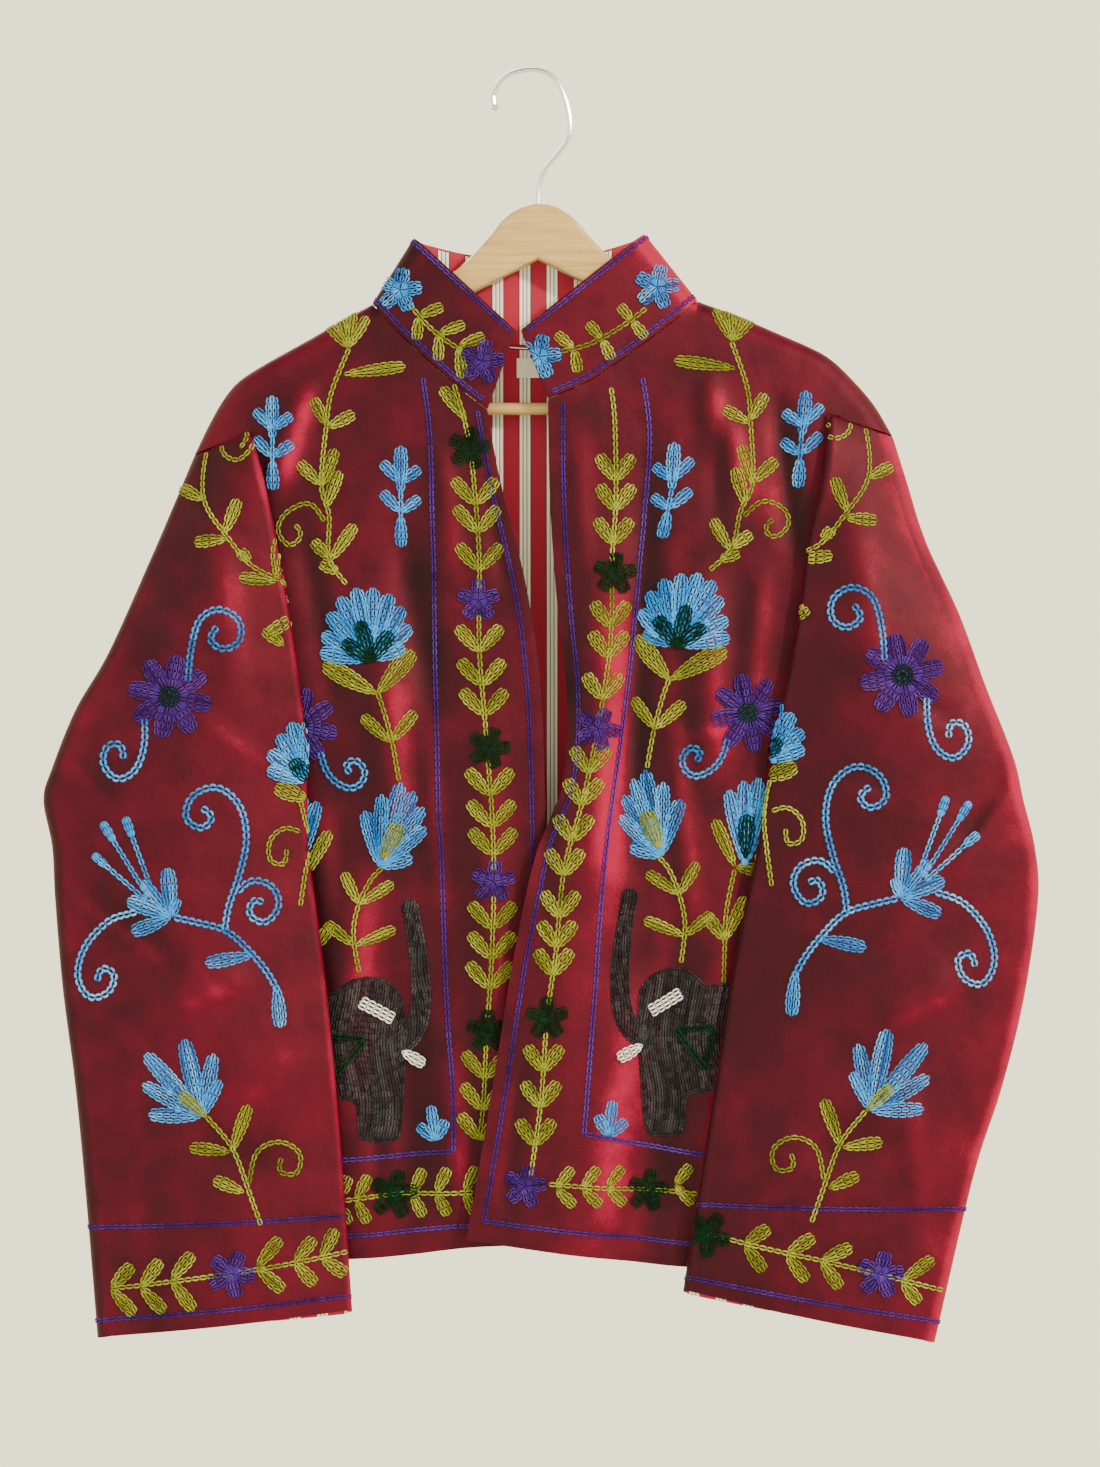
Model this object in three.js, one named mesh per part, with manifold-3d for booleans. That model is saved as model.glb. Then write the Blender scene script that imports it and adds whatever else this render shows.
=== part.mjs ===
// A suzani jacket on a clothes hanger: short velvet coat with a stand collar, an open front and
// long sleeves, lined with striped cotton. Millimetres, +Z up, the front of the jacket towards -Y.
// The origin is the inside of the hook's crown, where a rail or a wall hook carries the hanger.
import * as THREE from 'three';
import { mergeVertices } from 'three/addons/utils/BufferGeometryUtils.js';
import Module from 'manifold-3d';

const wasm = await Module();
wasm.setup();

// Cloth
const velvetWall = 2.5;
const half = velvetWall / 2;
const liningWall = 1;
const seamGap = 0.35;
const headGap = 1.3; // between the middles of walls that meet at an angle, as at the sleeve head
const headGapBack = 3.8; // behind, where they meet at a sharper one
const layerGap = 3.2; // between the middles of two velvet walls that lie on each other
const edgeRound = 12; // radius with which the cloth turns over at the outline
const frontReach = 20; // how far the fronts stand off the hanger's middle plane
const backReach = 16;
const easeLength = 60; // over which the cloth eases from the rounded edge to its full reach
const overlapLift = 10; // the right front lies this much in front of the left one
const overlapInX = [15, 75]; // over which that lift fades out, away from the opening
const overlapInZ = [-500, -400]; // and up towards the neck
const foldFree = [6, 40]; // the folds fade in between these distances from the outline
const collarHeight = 56;
const collarFoldGap = 0.7; // added to the neck seam's gap where the collar turns over at the shoulder
const collarFoldReach = 0.03; // over this share of the collar's length
const collarBow = 0.05; // the band is padded a little by its two layers

// Label, sewn on the lining below the back neck
const labelSize = [28, 0.6, 13];
const labelPlace = [3.6, -194];

// Hanger
const woodThick = 12;
const woodRound = 3; // radius of the wood's edges
const woodUnderCloth = 2.85; // from the middle of the cloth's wall down to the wood's upper edge
const barDiameter = 8;
const barHeight = -222.3;
const barEnds = [-187, 190];
const wireDiameter = 3.2;
const wireTipDiameter = 5;
const stemX = 3.9;
const stemEnd = -103;
const armEndEase = 8; // the arm leaves the cloth's line this far before its end
const stemHoleLength = 30;
const holeClearance = 0.3;

// Places on the outline, as [x, z], seen from the front. Each side is followed from the neck outwards.
const outline = {
  left: {
    sign: -1,
    collarTop: [-77.4, -110.5],
    shoulder: [[-105.3, -154.7], [-124.8, -165.1], [-150.8, -180], [-176.8, -194.5], [-193.1, -205.4],
      [-203, -217.5], [-212.6, -234.5], [-221.7, -253.5]],
    dropSeamFront: [-184.0, -238.6],
    dropSeamBack: [-212.0, -268.0],
    underarm: [-200, -479.7],
    hemSide: [-215, -774],
    collarEndHigh: [-10.6, -172.9],
    neck: [[-105.3, -154.7], [-89.0, -172.8], [-66.3, -194.0], [-46.8, -211.5], [-29.3, -224.9]],
    frontEdge: [[-29.3, -224.9], [-20.8, -271.7], [-4.5, -336.7], [5.2, -401.7], [8.5, -479.7],
      [9.8, -577.2], [10.4, -674.7], [10.4, -770.2]],
    hem: [[-215, -774], [-165, -779], [-118.3, -780], [-80, -777], [-40.3, -772.2], [10.4, -770.2]],
  },
  right: {
    sign: 1,
    collarTop: [73.5, -107.9],
    shoulder: [[109.2, -152.8], [135.2, -162.5], [161.2, -173.6], [184.0, -183.6], [196.0, -190.5],
      [208.7, -202.4], [224.2, -220.2], [236.6, -241.2]],
    dropSeamFront: [193.1, -226.8],
    dropSeamBack: [227.0, -257.0],
    underarm: [200, -479.7],
    hemSide: [218, -780],
    collarEndHigh: [-7.4, -172.9],
    neck: [[109.2, -152.8], [89.7, -169.0], [63.7, -188.5], [37.7, -206.2], [10.4, -217.8]],
    frontEdge: [[10.4, -217.8], [11.7, -284.7], [16.2, -349.7], [23.4, -414.7], [19.5, -473.2],
      [3.2, -512.2], [-11.1, -577.2], [-22.8, -648.7], [-32.5, -707.2], [-42.9, -765.7]],
    hem: [[218, -780], [160, -786], [102.7, -785.2], [60, -780.5], [18.2, -774.8], [-42.9, -765.7]],
  },
};
const backNeckDip = -181;
const backCollarTop = -121;
const backHem = [[-215, -774], [-118, -776], [-40, -769], [18, -778.5], [103, -789], [165, -789],
  [218, -780]];

// Sleeve sections from the drop seam to the cuff: the fold nearest the body and the outer fold, as x and z.
const sleeveRows = {
  left: {
    innerX: [-184, -178, -170, -159, -152, -148, -147.6, -147, -142, -135, -129, -123.5, -118.3],
    innerZ: [-238.6, -262, -298, -360, -408, -447, -479.7, -512, -548, -603, -662, -733, -811.2],
    outerX: [-221.7, -234, -251, -276, -296, -311, -316.6, -311, -309, -304, -296, -289, -281.4],
    outerZ: [-253.5, -285, -327, -385, -421, -459, -479.7, -510, -545, -603, -665, -737, -827.5],
  },
  right: {
    innerX: [193.1, 191, 181, 174, 166, 157, 153.4, 148, 141, 130, 120, 110.5, 99.5],
    innerZ: [-226.8, -265, -311, -363, -406, -447, -479.7, -512, -545, -603, -668, -727, -798.2],
    outerX: [236.6, 245, 257, 278, 294, 312, 318.5, 326, 328, 318.5, 304, 286, 260.7],
    outerZ: [-241.2, -270, -311, -359, -405, -452, -479.7, -511, -545, -610, -668, -723.5, -830.7],
  },
};
// The hanger's wood, as x and z: over the hump from arm to arm, then back along the underside. The arms'
// upper edges follow the cloth.
const woodHump = [[-80, -146.5], [-50.3, -131.3], [-28.7, -109.2], [-20.5, -98.4], [-9.5, -90.2],
  [stemX, -87], [17.3, -90.2], [28.3, -97.8], [36.5, -107.6], [55.8, -126.4], [80, -139.5]];
const woodEnd = {
  left: [[-195.5, -216], [-198, -224], [-194, -232], [-186, -229]],
  right: [[204.5, -206], [207.5, -216], [204, -227], [195, -232], [187, -228]],
};
const woodBelow = {
  left: [[-186, -229], [-160, -211], [-105, -181.0], [-50, -151.8], [stemX, -123.9]],
  right: [[stemX, -123.9], [58, -151.8], [105, -176.5], [160, -207.5], [187, -228]],
};
// The middle of the hook's wire, from its tip over the crown to the end that is set in the wood.
const hookLine = [[-24.7, -23.4], [-25.6, -15.5], [-18.5, -3.6], [0, wireDiameter / 2], [13.8, -3.2],
  [22, -18.5], [25, -35.5], [23.6, -44.5], [16.4, -54.5], [8, -65], [4.6, -75.5], [stemX, -88],
  [stemX, stemEnd]];

const underarmRow = 6;
const cuffRow = 12;
const innerFoldRadius = 3.5;
const outerFoldRadius = 9;
const sleeveForward = -28; // how far the sleeve's outer fold comes to hang in front of the shoulder line
const sleeveFrontBulge = 9;
const sleeveBackBulge = 7;
const underarmOut = 4.1; // the sleeve's underarm seam lies this far outside the body's side seam
const cuffDrop = 3.5; // the cuff's back edge hangs this much lower than its front edge

// Folds: x and z at the two ends, half width and height (a trough is below 0).
const foldColumns = ['x0', 'z0', 'x1', 'z1', 'width', 'height'];
const folds = {
  frontLeft: [
    [-147, -206, -170, -280, 9, 5],
    [-86, -300, -64, -420, 13, -6],
    [-97, -390, -88, -500, 13, 5],
    [-112, -520, -125, -680, 14, 6],
    [-84, -600, -78, -760, 16, -5],
    [-30, -420, -22, -740, 12, 3],
  ],
  frontRight: [
    [115, -205, 137, -280, 10, 5],
    [160, -215, 172, -320, 9, -5],
    [46, -330, 44, -560, 16, 6],
    [78, -250, 62, -520, 11, -5],
    [112, -330, 118, -470, 12, 5],
    [100, -560, 78, -760, 15, -5],
    [60, -600, 42, -760, 14, 4],
  ],
  back: [
    [-125, -205, -60, -520, 15, 6],
    [-60, -230, -18, -600, 14, -4],
    [10, -260, 30, -760, 16, 5],
    [118, -205, 92, -560, 15, 6],
    [150, -360, 140, -760, 14, -4],
    [-150, -480, -120, -770, 15, -4],
  ],
  sleeveLeft: [
    [-302, -531, -232, -582, 9, -4],
    [-275, -384, -238, -374, 8, -3],
    [-236, -608, -180, -588, 11, 3],
    [-205, -300, -190, -420, 12, 3],
    [-225, -690, -170, -720, 14, -3],
  ],
  sleeveRight: [
    [312, -458, 274, -512, 9, -4],
    [276, -430, 242, -415, 8, -3],
    [280, -590, 220, -620, 12, 3],
    [210, -300, 222, -400, 12, 3],
    [235, -690, 180, -715, 14, -3],
  ],
};

const { lerp, smoothstep, clamp } = THREE.MathUtils;

// A smooth line through named places, as an even run of points.
function smoothLine(places, steps) {
  const curve = new THREE.SplineCurve(places.map(([x, z]) => new THREE.Vector2(x, z)));
  return curve.getSpacedPoints(steps).map(({ x, y }) => [x, y]);
}

function lineAt(line, share) {
  const lengths = [0];
  for (let i = 1; i < line.length; i++) {
    lengths.push(lengths[i - 1] + Math.hypot(line[i][0] - line[i - 1][0], line[i][1] - line[i - 1][1]));
  }
  const wanted = clamp(share, 0, 1) * lengths.at(-1);
  let i = 1;
  while (i < line.length - 1 && lengths[i] < wanted) i++;
  const t = (wanted - lengths[i - 1]) / (lengths[i] - lengths[i - 1]);
  return [lerp(line[i - 1][0], line[i][0], t), lerp(line[i - 1][1], line[i][1], t)];
}

function distanceToLine(x, z, line) {
  let best = Infinity;
  for (let i = 1; i < line.length; i++) {
    const [ax, az] = line[i - 1];
    const [bx, bz] = line[i];
    const t = clamp(((x - ax) * (bx - ax) + (z - az) * (bz - az)) / ((bx - ax) ** 2 + (bz - az) ** 2), 0, 1);
    best = Math.min(best, Math.hypot(x - lerp(ax, bx, t), z - lerp(az, bz, t)));
  }
  return best;
}

const shoulderSteps = 24;
const neckSteps = 16;
const edgeSteps = 30;
for (const place of Object.values(outline)) {
  place.ridge = smoothLine(place.shoulder, shoulderSteps);
  place.turnOver = [place.collarTop, ...place.ridge];
  const below = place.hemSide[0] + 0.05 * (place.hemSide[0] - place.underarm[0]);
  place.sideLine = [place.underarm, place.hemSide, [below, place.hemSide[1] - 20]];
  place.neckLine = smoothLine(place.neck, neckSteps);
  place.edgeLine = smoothLine(place.frontEdge, edgeSteps);
  place.hemLine = smoothLine(place.hem, neckSteps);
}
const backHemLine = smoothLine(backHem, edgeSteps);
const backNeckLine = smoothLine([outline.left.shoulder[0], [-60, backNeckDip + 9], [2, backNeckDip],
  [62, backNeckDip + 9], outline.right.shoulder[0]], neckSteps);
const backTopLine = smoothLine([outline.left.collarTop, [-40, backCollarTop + 2], [0, backCollarTop],
  [38, backCollarTop + 3], outline.right.collarTop], neckSteps);

// How far the cloth stands off the middle plane, at a distance in from the garment's outline.
function roundOver(distance, reach) {
  if (distance < edgeRound) return Math.sqrt(edgeRound ** 2 - (edgeRound - distance) ** 2);
  return edgeRound + (reach - edgeRound) * (1 - Math.exp((edgeRound - distance) / easeLength));
}

// The sum of the folds of one table at a place: each a soft bell across its line, faded out at its ends.
function foldHeight(table, x, z) {
  let height = 0;
  for (const row of table) {
    const fold = Object.fromEntries(foldColumns.map((name, i) => [name, row[i]]));
    const dx = fold.x1 - fold.x0;
    const dz = fold.z1 - fold.z0;
    const along = ((x - fold.x0) * dx + (z - fold.z0) * dz) / (dx * dx + dz * dz);
    const across = ((x - fold.x0) * dz - (z - fold.z0) * dx) / Math.hypot(dx, dz);
    const fade = smoothstep(along, -0.15, 0.3) * (1 - smoothstep(along, 0.7, 1.15));
    height += fold.height * Math.exp(-((across / fold.width) ** 2)) * fade;
  }
  return height;
}

function frontY(side, x, z) {
  const place = outline[side];
  const inward = Math.min(distanceToLine(x, z, place.turnOver), distanceToLine(x, z, place.sideLine));
  const free = smoothstep(inward, ...foldFree);
  let y = -roundOver(inward, frontReach);
  y -= free * foldHeight(side === 'left' ? folds.frontLeft : folds.frontRight, x, z);
  if (side === 'right') {
    y -= overlapLift * (1 - smoothstep(x, ...overlapInX)) * (1 - smoothstep(z, ...overlapInZ));
  }
  return y;
}

function backY(x, z) {
  const inward = Math.min(...Object.values(outline).flatMap((place) => [
    distanceToLine(x, z, place.turnOver), distanceToLine(x, z, place.sideLine)]));
  return roundOver(inward, backReach) + smoothstep(inward, ...foldFree) * foldHeight(folds.back, x, z);
}

// The outer side of a panel: down the drop seam, then the armhole, then the side seam.
const dropSeamShare = 0.07;
const armholeShare = 0.49;
function sideAt(place, seamPoint, v) {
  const [top, underarm, hem] = [place.ridge.at(-1), place.underarm, place.hemSide];
  if (v < dropSeamShare) return lineAt([top, seamPoint], v / dropSeamShare);
  const along = (v - dropSeamShare) / (armholeShare - dropSeamShare);
  if (v < armholeShare) return lineAt([seamPoint, underarm], along);
  return lineAt([underarm, hem], (v - armholeShare) / (1 - armholeShare));
}

// A point of the cloth spread between a top and a bottom line, its sides pulled to their own lines.
function spread(top, bottom, v, pulls) {
  let x = lerp(top[0], bottom[0], v);
  let z = lerp(top[1], bottom[1], v);
  for (const { line, weight } of pulls) {
    const [here, first, last] = [line(v), line(0), line(1)];
    x += weight * (here[0] - lerp(first[0], last[0], v));
    z += weight * (here[1] - lerp(first[1], last[1], v));
  }
  return [x, z];
}

const sideHold = 5; // the power with which the pull of a panel's outer side fades inwards
const neckShare = 0.6; // share of a front panel's top line, from the sleeve, at which the neck starts
function frontPanel(side) {
  const place = outline[side];
  const outer = (v) => sideAt(place, place.dropSeamFront, v);
  const inner = (v) => lineAt(place.edgeLine, v);
  return (u, v) => {
    const top = u < neckShare ? lineAt(place.ridge, 1 - u / neckShare)
      : lineAt(place.neckLine, (u - neckShare) / (1 - neckShare));
    const [x, z] = spread(top, lineAt(place.hemLine, u), v,
      [{ line: outer, weight: (1 - u) ** sideHold }, { line: inner, weight: u ** 2 }]);
    return new THREE.Vector3(x, frontY(side, x, z) - seamGap / 2, z);
  };
}

const backNeckShare = 0.27;
function backPanel(u, v) {
  const { left, right } = outline;
  let top;
  if (u < backNeckShare) top = lineAt(left.ridge, 1 - u / backNeckShare);
  else if (u > 1 - backNeckShare) top = lineAt(right.ridge, 1 - (1 - u) / backNeckShare);
  else top = lineAt(backNeckLine, (u - backNeckShare) / (1 - 2 * backNeckShare));
  const [x, z] = spread(top, lineAt(backHemLine, u), v, [
    { line: (t) => sideAt(left, left.dropSeamBack, t), weight: (1 - u) ** (2 * sideHold) },
    { line: (t) => sideAt(right, right.dropSeamBack, t), weight: u ** (2 * sideHold) }]);
  return new THREE.Vector3(x, backY(x, z) + seamGap / 2, z);
}

// The collar, followed from its left front end round the back to its right front end.
const collarFrontShare = 0.26;
function collar(u, v) {
  const { left, right } = outline;
  let low;
  let high;
  let side = 'back';
  if (u < collarFrontShare) {
    const t = 1 - u / collarFrontShare;
    low = lineAt(left.neckLine, t);
    high = lineAt([left.collarTop, left.collarEndHigh], t);
    side = 'left';
  } else if (u > 1 - collarFrontShare) {
    const t = (u - 1 + collarFrontShare) / collarFrontShare;
    low = lineAt(right.neckLine, t);
    high = lineAt([right.collarTop, right.collarEndHigh], t);
    side = 'right';
  } else {
    const t = (u - collarFrontShare) / (1 - 2 * collarFrontShare);
    low = lineAt(backNeckLine, t);
    high = lineAt(backTopLine, t);
  }
  const toFold = Math.min(Math.abs(u - collarFrontShare), Math.abs(u - 1 + collarFrontShare));
  const gap = (seamGap + collarFoldGap * Math.exp(-((toFold / collarFoldReach) ** 2))) / collarHeight;
  const x = lerp(low[0], high[0], lerp(gap, 1, v));
  const z = lerp(low[1], high[1], lerp(gap, 1, v));
  const y = side === 'back' ? backY(x, z) : frontY(side, x, z);
  return new THREE.Vector3(x, y * (1 + collarBow * Math.sin(Math.PI * v)), z);
}

// Sleeve: one strip that starts at the front armhole, folds forward over the body at its inner fold, goes
// across the front, turns at the outer fold and comes back to the back armhole. Below the underarm its two
// edges meet behind and the strip is a tube.
const sleeveParts = [
  { name: 'hidden', until: 0.16 },
  { name: 'innerFold', until: 0.2 },
  { name: 'front', until: 0.58 },
  { name: 'outerFold', until: 0.64 },
  { name: 'behind', until: 1 },
];

function tableAt(values, row) {
  const i = clamp(Math.floor(row), 0, values.length - 2);
  const t = row - i;
  const [a, b, c, d] = [i - 1, i, i + 1, i + 2].map((k) => values[clamp(k, 0, values.length - 1)]);
  return 0.5 * (2 * b + (c - a) * t + (2 * a - 5 * b + 4 * c - d) * t * t + (3 * b - a - 3 * c + d) * t ** 3);
}

function bezier(a, b, c, d, t) {
  const s = 1 - t;
  return [0, 1].map((i) => s ** 3 * a[i] + 3 * s * s * t * b[i] + 3 * s * t * t * c[i] + t ** 3 * d[i]);
}

function sleeve(side) {
  const place = outline[side];
  const { sign } = place;
  const rows = sleeveRows[side];
  const foldTable = side === 'left' ? folds.sleeveLeft : folds.sleeveRight;
  const head = place.ridge.at(-1);
  const seamLength = (end) => Math.hypot(end[0] - head[0], end[1] - head[1]);
  const frontSeam = seamLength(place.dropSeamFront);
  const backSeam = seamLength(place.dropSeamBack);

  // The way from the drop seam into the sleeve, square to the seam: in front, behind and between them.
  const intoSleeve = (along) => {
    const square = (end) => [head[1] - end[1], end[0] - head[0]].map((n) => sign * n / seamLength(end));
    const [front, back] = [square(place.dropSeamFront), square(place.dropSeamBack)];
    const share = smoothstep(along, -5, 5);
    const way = [lerp(back[0], front[0], share), lerp(back[1], front[1], share)];
    return way.map((n) => n / Math.hypot(...way));
  };

  // The strip's top row, on the drop seam. along is the distance from the sleeve head, positive in front.
  function seamPoint(along) {
    const end = along > 0 ? place.dropSeamFront : place.dropSeamBack;
    const [x, z] = lineAt([head, end], Math.abs(along) / seamLength(end));
    const inFront = layerGap * clamp(along / frontSeam, 0, 1) ** 3;
    const y = along > 0 ? frontY(side, x, z) - inFront : backY(x, z);
    const [outX, outZ] = intoSleeve(along);
    const gap = lerp(headGap, headGapBack, smoothstep(-along, 2, 9));
    return new THREE.Vector3(x + gap * outX, y, z + gap * outZ);
  }
  function topPoint(part, t) {
    if (part === 'hidden') return seamPoint(frontSeam - 2 * t);
    if (part === 'innerFold') return seamPoint(frontSeam - 2 - 3 * t);
    if (part === 'front') return seamPoint(lerp(frontSeam - 5, 10, t));
    if (part === 'behind') return seamPoint(-lerp(8, backSeam, t));
    const swing = 1 - 2 * t;
    return seamPoint(swing > 0 ? 10 * swing ** 2 : -8 * swing ** 2);
  }

  // How far forward the strip must lie at a place to stay clear of the body behind it, its side edge too.
  const sideX = (z) => {
    const [ax, az] = place.underarm;
    const [bx, bz] = place.hemSide;
    return Math.abs(lerp(ax, bx, Math.max(0, (z - az) / (bz - az))));
  };
  function clearOfBody(a, z) {
    const reach = (out) => (a - out < sideX(z) ? frontY(side, sign * (a - out), z) - layerGap : Infinity);
    return Math.min(reach(0), reach(layerGap + 0.1));
  }

  function edgeOnArmhole(from, z) {
    const t = clamp((z - from[1]) / (place.underarm[1] - from[1]), 0, 1);
    return Math.abs(lerp(from[0], place.underarm[0], t));
  }

  function sectionPoint(part, t, row) {
    const inner = { a: sign * tableAt(rows.innerX, row), z: tableAt(rows.innerZ, row) };
    const outer = { a: sign * tableAt(rows.outerX, row), z: tableAt(rows.outerZ, row) };
    const levelAt = (a) => lerp(inner.z, outer.z, (a - inner.a) / (outer.a - inner.a));
    const below = Math.max(0, row - underarmRow);
    const notch = row < underarmRow ? smoothstep(row, 4.6, underarmRow) : 1 - smoothstep(below, 0, 3.2);
    const body = (a) => clearOfBody(a, levelAt(a));
    const outerY = sleeveForward * smoothstep(row, -0.5, 5);
    const innerY = body(inner.a + innerFoldRadius) - 1.5;
    const low = body(190);

    let frontEdge;
    let backEdge;
    let backDrop = 0;
    if (row <= underarmRow) {
      const aFront = edgeOnArmhole(place.dropSeamFront, levelAt(190));
      const down = (outer.z - rows.outerZ[0]) / (rows.outerZ[underarmRow] - rows.outerZ[0]);
      const backZ = lerp(place.dropSeamBack[1], place.underarm[1], down);
      const aBack = edgeOnArmhole(place.dropSeamBack, backZ);
      backDrop = backZ - levelAt(aBack);
      const around = notch * Math.PI / 2;
      const yFront = frontY(side, sign * aFront, levelAt(aFront)) - underarmOut * Math.cos(around);
      const yBack = backY(sign * aBack, backZ) + seamGap / 2;
      frontEdge = [aFront + underarmOut * Math.sin(around), yFront - seamGap / 2];
      backEdge = [aBack + lerp(headGap, underarmOut, notch), yBack];
    } else {
      const a = sideX(levelAt(200)) + underarmOut;
      const y = lerp(low - 2, 0, notch);
      const gap = seamGap / 2;
      frontEdge = [a - gap * (1 - notch), y - gap * notch];
      backEdge = [a + gap * (1 - notch), y + gap * notch];
    }

    let a;
    let y;
    let drop = 0;
    let settle = 0;
    if (part === 'hidden') {
      const end = [inner.a + innerFoldRadius, innerY];
      const third = [lerp(frontEdge[0], end[0], 0.33), lerp(frontEdge[1], low - 2, 0.4)];
      const leave = [lerp(third[0], frontEdge[0] + 3, notch), lerp(third[1], frontEdge[1] - 14, notch)];
      [a, y] = bezier(frontEdge, leave, [lerp(frontEdge[0], end[0], 0.45), innerY - 1], end, t);
      y = Math.min(y, body(a));
      drop = 1;
    } else if (part === 'innerFold') {
      const turn = Math.PI * t;
      a = inner.a + innerFoldRadius * (1 - Math.sin(turn));
      y = innerY - innerFoldRadius * (1 - Math.cos(turn));
      drop = 1 - t;
    } else if (part === 'front') {
      a = lerp(inner.a + innerFoldRadius, outer.a - outerFoldRadius, t);
      const bulge = sleeveFrontBulge * smoothstep(row, 0, 3) * Math.sin(Math.PI * t);
      const raised = foldHeight(foldTable, sign * a, levelAt(a)) * Math.sin(Math.PI * t) ** 0.5;
      y = lerp(innerY - 2 * innerFoldRadius, outerY - outerFoldRadius, t) - bulge - raised;
    } else if (part === 'outerFold') {
      const turn = Math.PI * t;
      a = outer.a - outerFoldRadius * (1 - Math.sin(turn));
      y = outerY - outerFoldRadius * Math.cos(turn);
      drop = t;
    } else {
      const start = [outer.a - outerFoldRadius, outerY + outerFoldRadius];
      const bulge = sleeveBackBulge * smoothstep(row, 0, 3);
      const span = start[0] - backEdge[0];
      const rise = row < underarmRow ? 0 : bulge;
      const arrive = [backEdge[0] + lerp(0.35 * span, 2, notch), backEdge[1] + lerp(rise, 9, notch)];
      [a, y] = bezier(start, [start[0] - 0.35 * span, start[1] + bulge], arrive, backEdge, t);
      drop = 1;
      settle = backDrop * t * t;
    }
    const z = levelAt(a) + settle - drop * cuffDrop * smoothstep(row, cuffRow - 2, cuffRow);
    return new THREE.Vector3(sign * a, y, z);
  }

  return (w, v) => {
    const i = sleeveParts.findIndex(({ until }) => w <= until);
    const from = i > 0 ? sleeveParts[i - 1].until : 0;
    const t = (w - from) / (sleeveParts[i].until - from);
    const row = v * cuffRow;
    const own = sectionPoint(sleeveParts[i].name, t, row);
    const hold = Math.max(0, 1 - row / 1.4) ** 2;
    return hold > 0 ? own.lerp(topPoint(sleeveParts[i].name, t), hold) : own;
  };
}

// Points and outward normals of a surface on a grid of shares.
const nudge = 1e-4;
function gridOf(surface, us, vs) {
  return vs.map((v) => us.map((u) => {
    const slope = (du, dv) => surface(Math.min(u + du, 1), Math.min(v + dv, 1))
      .sub(surface(Math.max(u - du, 0), Math.max(v - dv, 0)));
    return { at: surface(u, v), normal: slope(nudge, 0).cross(slope(0, nudge)).normalize() };
  }));
}

// A closed wall between two offsets of a grid, along its normals, over the cells that are kept.
function wall(grid, near, far, kept = () => true) {
  const [rows, columns] = [grid.length, grid[0].length];
  const positions = [];
  for (const offset of [near, far]) {
    for (const { at, normal } of grid.flat()) positions.push(...at.clone().addScaledVector(normal, offset));
  }
  const layer = rows * columns;
  const triangles = [];
  const quad = (a, b, c, d) => triangles.push(a, b, c, a, c, d);
  const edges = new Map();
  for (let row = 0; row < rows - 1; row++) {
    for (let column = 0; column < columns - 1; column++) {
      if (!kept(row, column)) continue;
      const cell = [[row, column], [row, column + 1], [row + 1, column + 1], [row + 1, column]];
      const [a, b, c, d] = cell.map(([r, k]) => r * columns + k);
      quad(a + layer, b + layer, c + layer, d + layer);
      quad(a, d, c, b);
      for (const edge of [[a, b], [b, c], [c, d], [d, a]]) edges.set(edge.join(), edge);
    }
  }
  for (const [from, to] of edges.values()) { // an edge that no neighbour shares is on the rim
    if (!edges.has([to, from].join())) quad(from, to, to + layer, from + layer);
  }
  const geometry = new THREE.BufferGeometry();
  geometry.setAttribute('position', new THREE.Float32BufferAttribute(positions, 3));
  geometry.setIndex(triangles);
  return outwards(geometry);
}

// Turns a closed mesh's faces outwards where its volume comes out negative.
function outwards(geometry) {
  const position = geometry.attributes.position;
  const order = geometry.index.array;
  const [a, b, c] = [new THREE.Vector3(), new THREE.Vector3(), new THREE.Vector3()];
  let volume = 0;
  for (let i = 0; i < order.length; i += 3) {
    [a, b, c].forEach((corner, k) => corner.fromBufferAttribute(position, order[i + k]));
    volume += a.dot(b.cross(c));
  }
  if (volume < 0) {
    for (let i = 0; i < order.length; i += 3) [order[i + 1], order[i + 2]] = [order[i + 2], order[i + 1]];
  }
  return geometry;
}

function manifoldOf(geometry) {
  const bare = geometry.clone();
  bare.deleteAttribute('normal');
  bare.deleteAttribute('uv');
  const merged = mergeVertices(bare, 1e-4);
  return new wasm.Manifold(new wasm.Mesh({
    numProp: 3,
    vertProperties: new Float32Array(merged.attributes.position.array),
    triVerts: new Uint32Array(merged.index.array),
  }));
}

function geometryOf(manifold) {
  const { vertProperties, triVerts } = manifold.getMesh();
  const geometry = new THREE.BufferGeometry();
  geometry.setAttribute('position', new THREE.BufferAttribute(vertProperties, 3));
  geometry.setIndex(new THREE.BufferAttribute(triVerts, 1));
  return geometry;
}

// Materials
const cloth = (colour) => new THREE.MeshStandardMaterial({ color: colour, roughness: 0.9, metalness: 0 });
const velvet = cloth('#96102a');
const lining = cloth('#b3203c');
const tape = cloth('#ece9e2');
const wood = new THREE.MeshStandardMaterial({ color: '#c8a96b', roughness: 0.45, metalness: 0 });
const wire = new THREE.MeshStandardMaterial({ color: '#c9ccd0', roughness: 0.25, metalness: 1 });

const jacket = new THREE.Group();
function add(name, geometry, material) {
  const mesh = new THREE.Mesh(geometry, material);
  mesh.name = name;
  jacket.add(mesh);
}

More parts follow.
